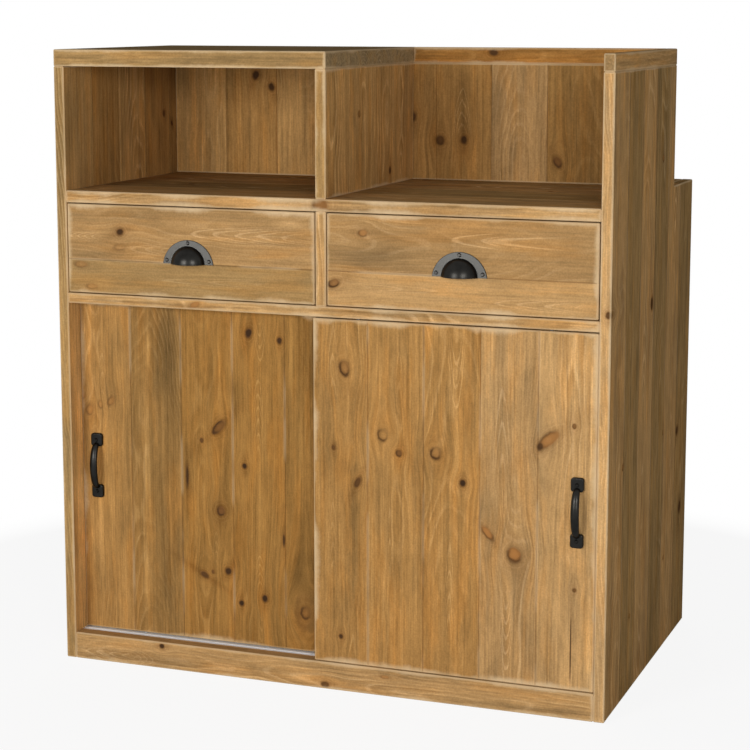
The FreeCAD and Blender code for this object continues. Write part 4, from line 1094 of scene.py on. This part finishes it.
@dataclass
class Studio:
    """The plain white studio: floor, lights, white surround and the camera."""

    softboxes: tuple[Softbox, ...] = (
        Softbox("left_softbox", (-1.7, -4.9, 1.40), 1.5, 132.0),
        Softbox("right_softbox", (2.2, -4.2, 1.40), 1.2, 86.0),
        Softbox("back_softbox", (-1.4, 4.8, 1.00), 1.8, 75.0))
    aim_height: float = 0.55
    ambient: float = 0.22
    floor_reach: float = 14.0
    floor_drop: float = 0.0006
    floor_grey: float = 0.84
    fade_start: float = 0.40
    fade_end: float = 1.25
    least_white: float = 0.89
    focal_pixels: float = 2006.1
    camera_place: Place = (1.2541, -3.3967, 1.1586)
    camera_pitch: float = -8.581
    camera_yaw: float = 20.467
    camera_shift: float = -0.08

    def build(self) -> None:
        """Make the surround, the floor, the lights and the camera."""
        bpy.context.scene.view_settings.view_transform = "Standard"
        self._surround()
        self._floor()
        for softbox in self.softboxes:
            softbox.stand(Vector((0.0, 0.0, self.aim_height)))
        self._camera()

    @staticmethod
    def _whiten(bench: NodeBench, lit: Wire, kind: str, share: Feed, end: str) -> None:
        """Show plain white in place of a lit shader to the camera, directly, mirrored or through glass.

        Args:
            bench: the nodes of the world or material.
            lit: the shader that the light on the object meets.
            kind: the white shader's type name.
            share: how far the lit shader turns white.
            end: the name of the output node.
        """
        path = bench.place("ShaderNodeLightPath", {}).outputs
        rays = ("Is Camera Ray", "Is Glossy Ray", "Is Transmission Ray")
        seen = bench.most(*(Wire(bench, path[ray]) for ray in rays))
        white = bench.out(kind, 0, {"Color": WHITE, "Strength": 1.0})
        mix = bench.out("ShaderNodeMixShader", 0, {0: seen * share, 1: lit, 2: white})
        bench.fill(bench.tree.nodes[end], {"Surface": mix})

    def _surround(self) -> None:
        """A white surround that lights the object softly."""
        world = bpy.data.worlds.new("white_studio")
        bpy.context.scene.world = world
        world.use_nodes = True
        bench = NodeBench(world.node_tree)
        lit = world.node_tree.nodes["Background"]
        bench.fill(lit, {"Color": WHITE, "Strength": self.ambient})
        self._whiten(bench, Wire(bench, lit.outputs[0]), "ShaderNodeBackground", 1.0, "World Output")

    def _floor(self) -> None:
        """A pale floor that takes the cabinet's shadow and turns white further out."""
        mesh = bpy.data.meshes.new("studio_floor")
        signs = ((-1, -1), (1, -1), (1, 1), (-1, 1))
        reach, height = self.floor_reach, -self.floor_drop
        mesh.from_pydata([(x * reach, y * reach, height) for x, y in signs], [], [(0, 1, 2, 3)])
        floor = bpy.data.objects.new("studio_floor", mesh)
        bpy.context.scene.collection.objects.link(floor)
        material, bench, shader = new_material("pale_floor")
        bench.tree.nodes.remove(shader)
        matt = bench.out("ShaderNodeBsdfDiffuse", 0, {"Color": (self.floor_grey,) * 3})
        point = bench.out("ShaderNodeTexCoord", "Object", {})
        away = bench.out("ShaderNodeVectorMath", "Value", {0: point}, operation="LENGTH")
        fade = away.between(self.fade_start, self.fade_end)
        self._whiten(bench, matt, "ShaderNodeEmission", bench.most(fade, self.least_white), "Material Output")
        mesh.materials.append(material)

    def _camera(self) -> None:
        """The camera at the photograph's place."""
        data = bpy.data.cameras.new("view")
        data.sensor_width = 36.0
        data.lens = self.focal_pixels / IMAGE_PIXELS * data.sensor_width
        data.shift_y = self.camera_shift
        data.clip_end = 100.0
        camera = bpy.data.objects.new("view", data)
        camera.location = self.camera_place
        camera.rotation_euler = (math.radians(90.0 + self.camera_pitch), 0.0, math.radians(self.camera_yaw))
        bpy.context.scene.collection.objects.link(camera)
        bpy.context.scene.camera = camera


def main() -> None:
    """Dress the cabinet and build the studio."""
    logging.basicConfig(level=logging.INFO, format="%(name)s: %(message)s")
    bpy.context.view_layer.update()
    effects = SharedEffects()
    Carcass(effects).dress()
    Drawer(effects, Hand.LEFT, (DUSK, BISCUIT), LEFT_DRAWER_MARKS, 83.0).dress()
    Drawer(effects, Hand.RIGHT, (TAN, BISCUIT), RIGHT_DRAWER_MARKS, 97.0).dress()
    left_boards = (HONEY, OLIVE, CHESTNUT, CHESTNUT, CHESTNUT)
    right_boards = (HONEY, HONEY, HONEY, BISCUIT, TAN)
    SlidingDoor(effects, Hand.LEFT, left_boards, LEFT_DOOR_MARKS, 101.0).dress()
    SlidingDoor(effects, Hand.RIGHT, right_boards, RIGHT_DOOR_MARKS, 113.0).dress()
    Studio().build()


if __name__ == "__main__":
    main()
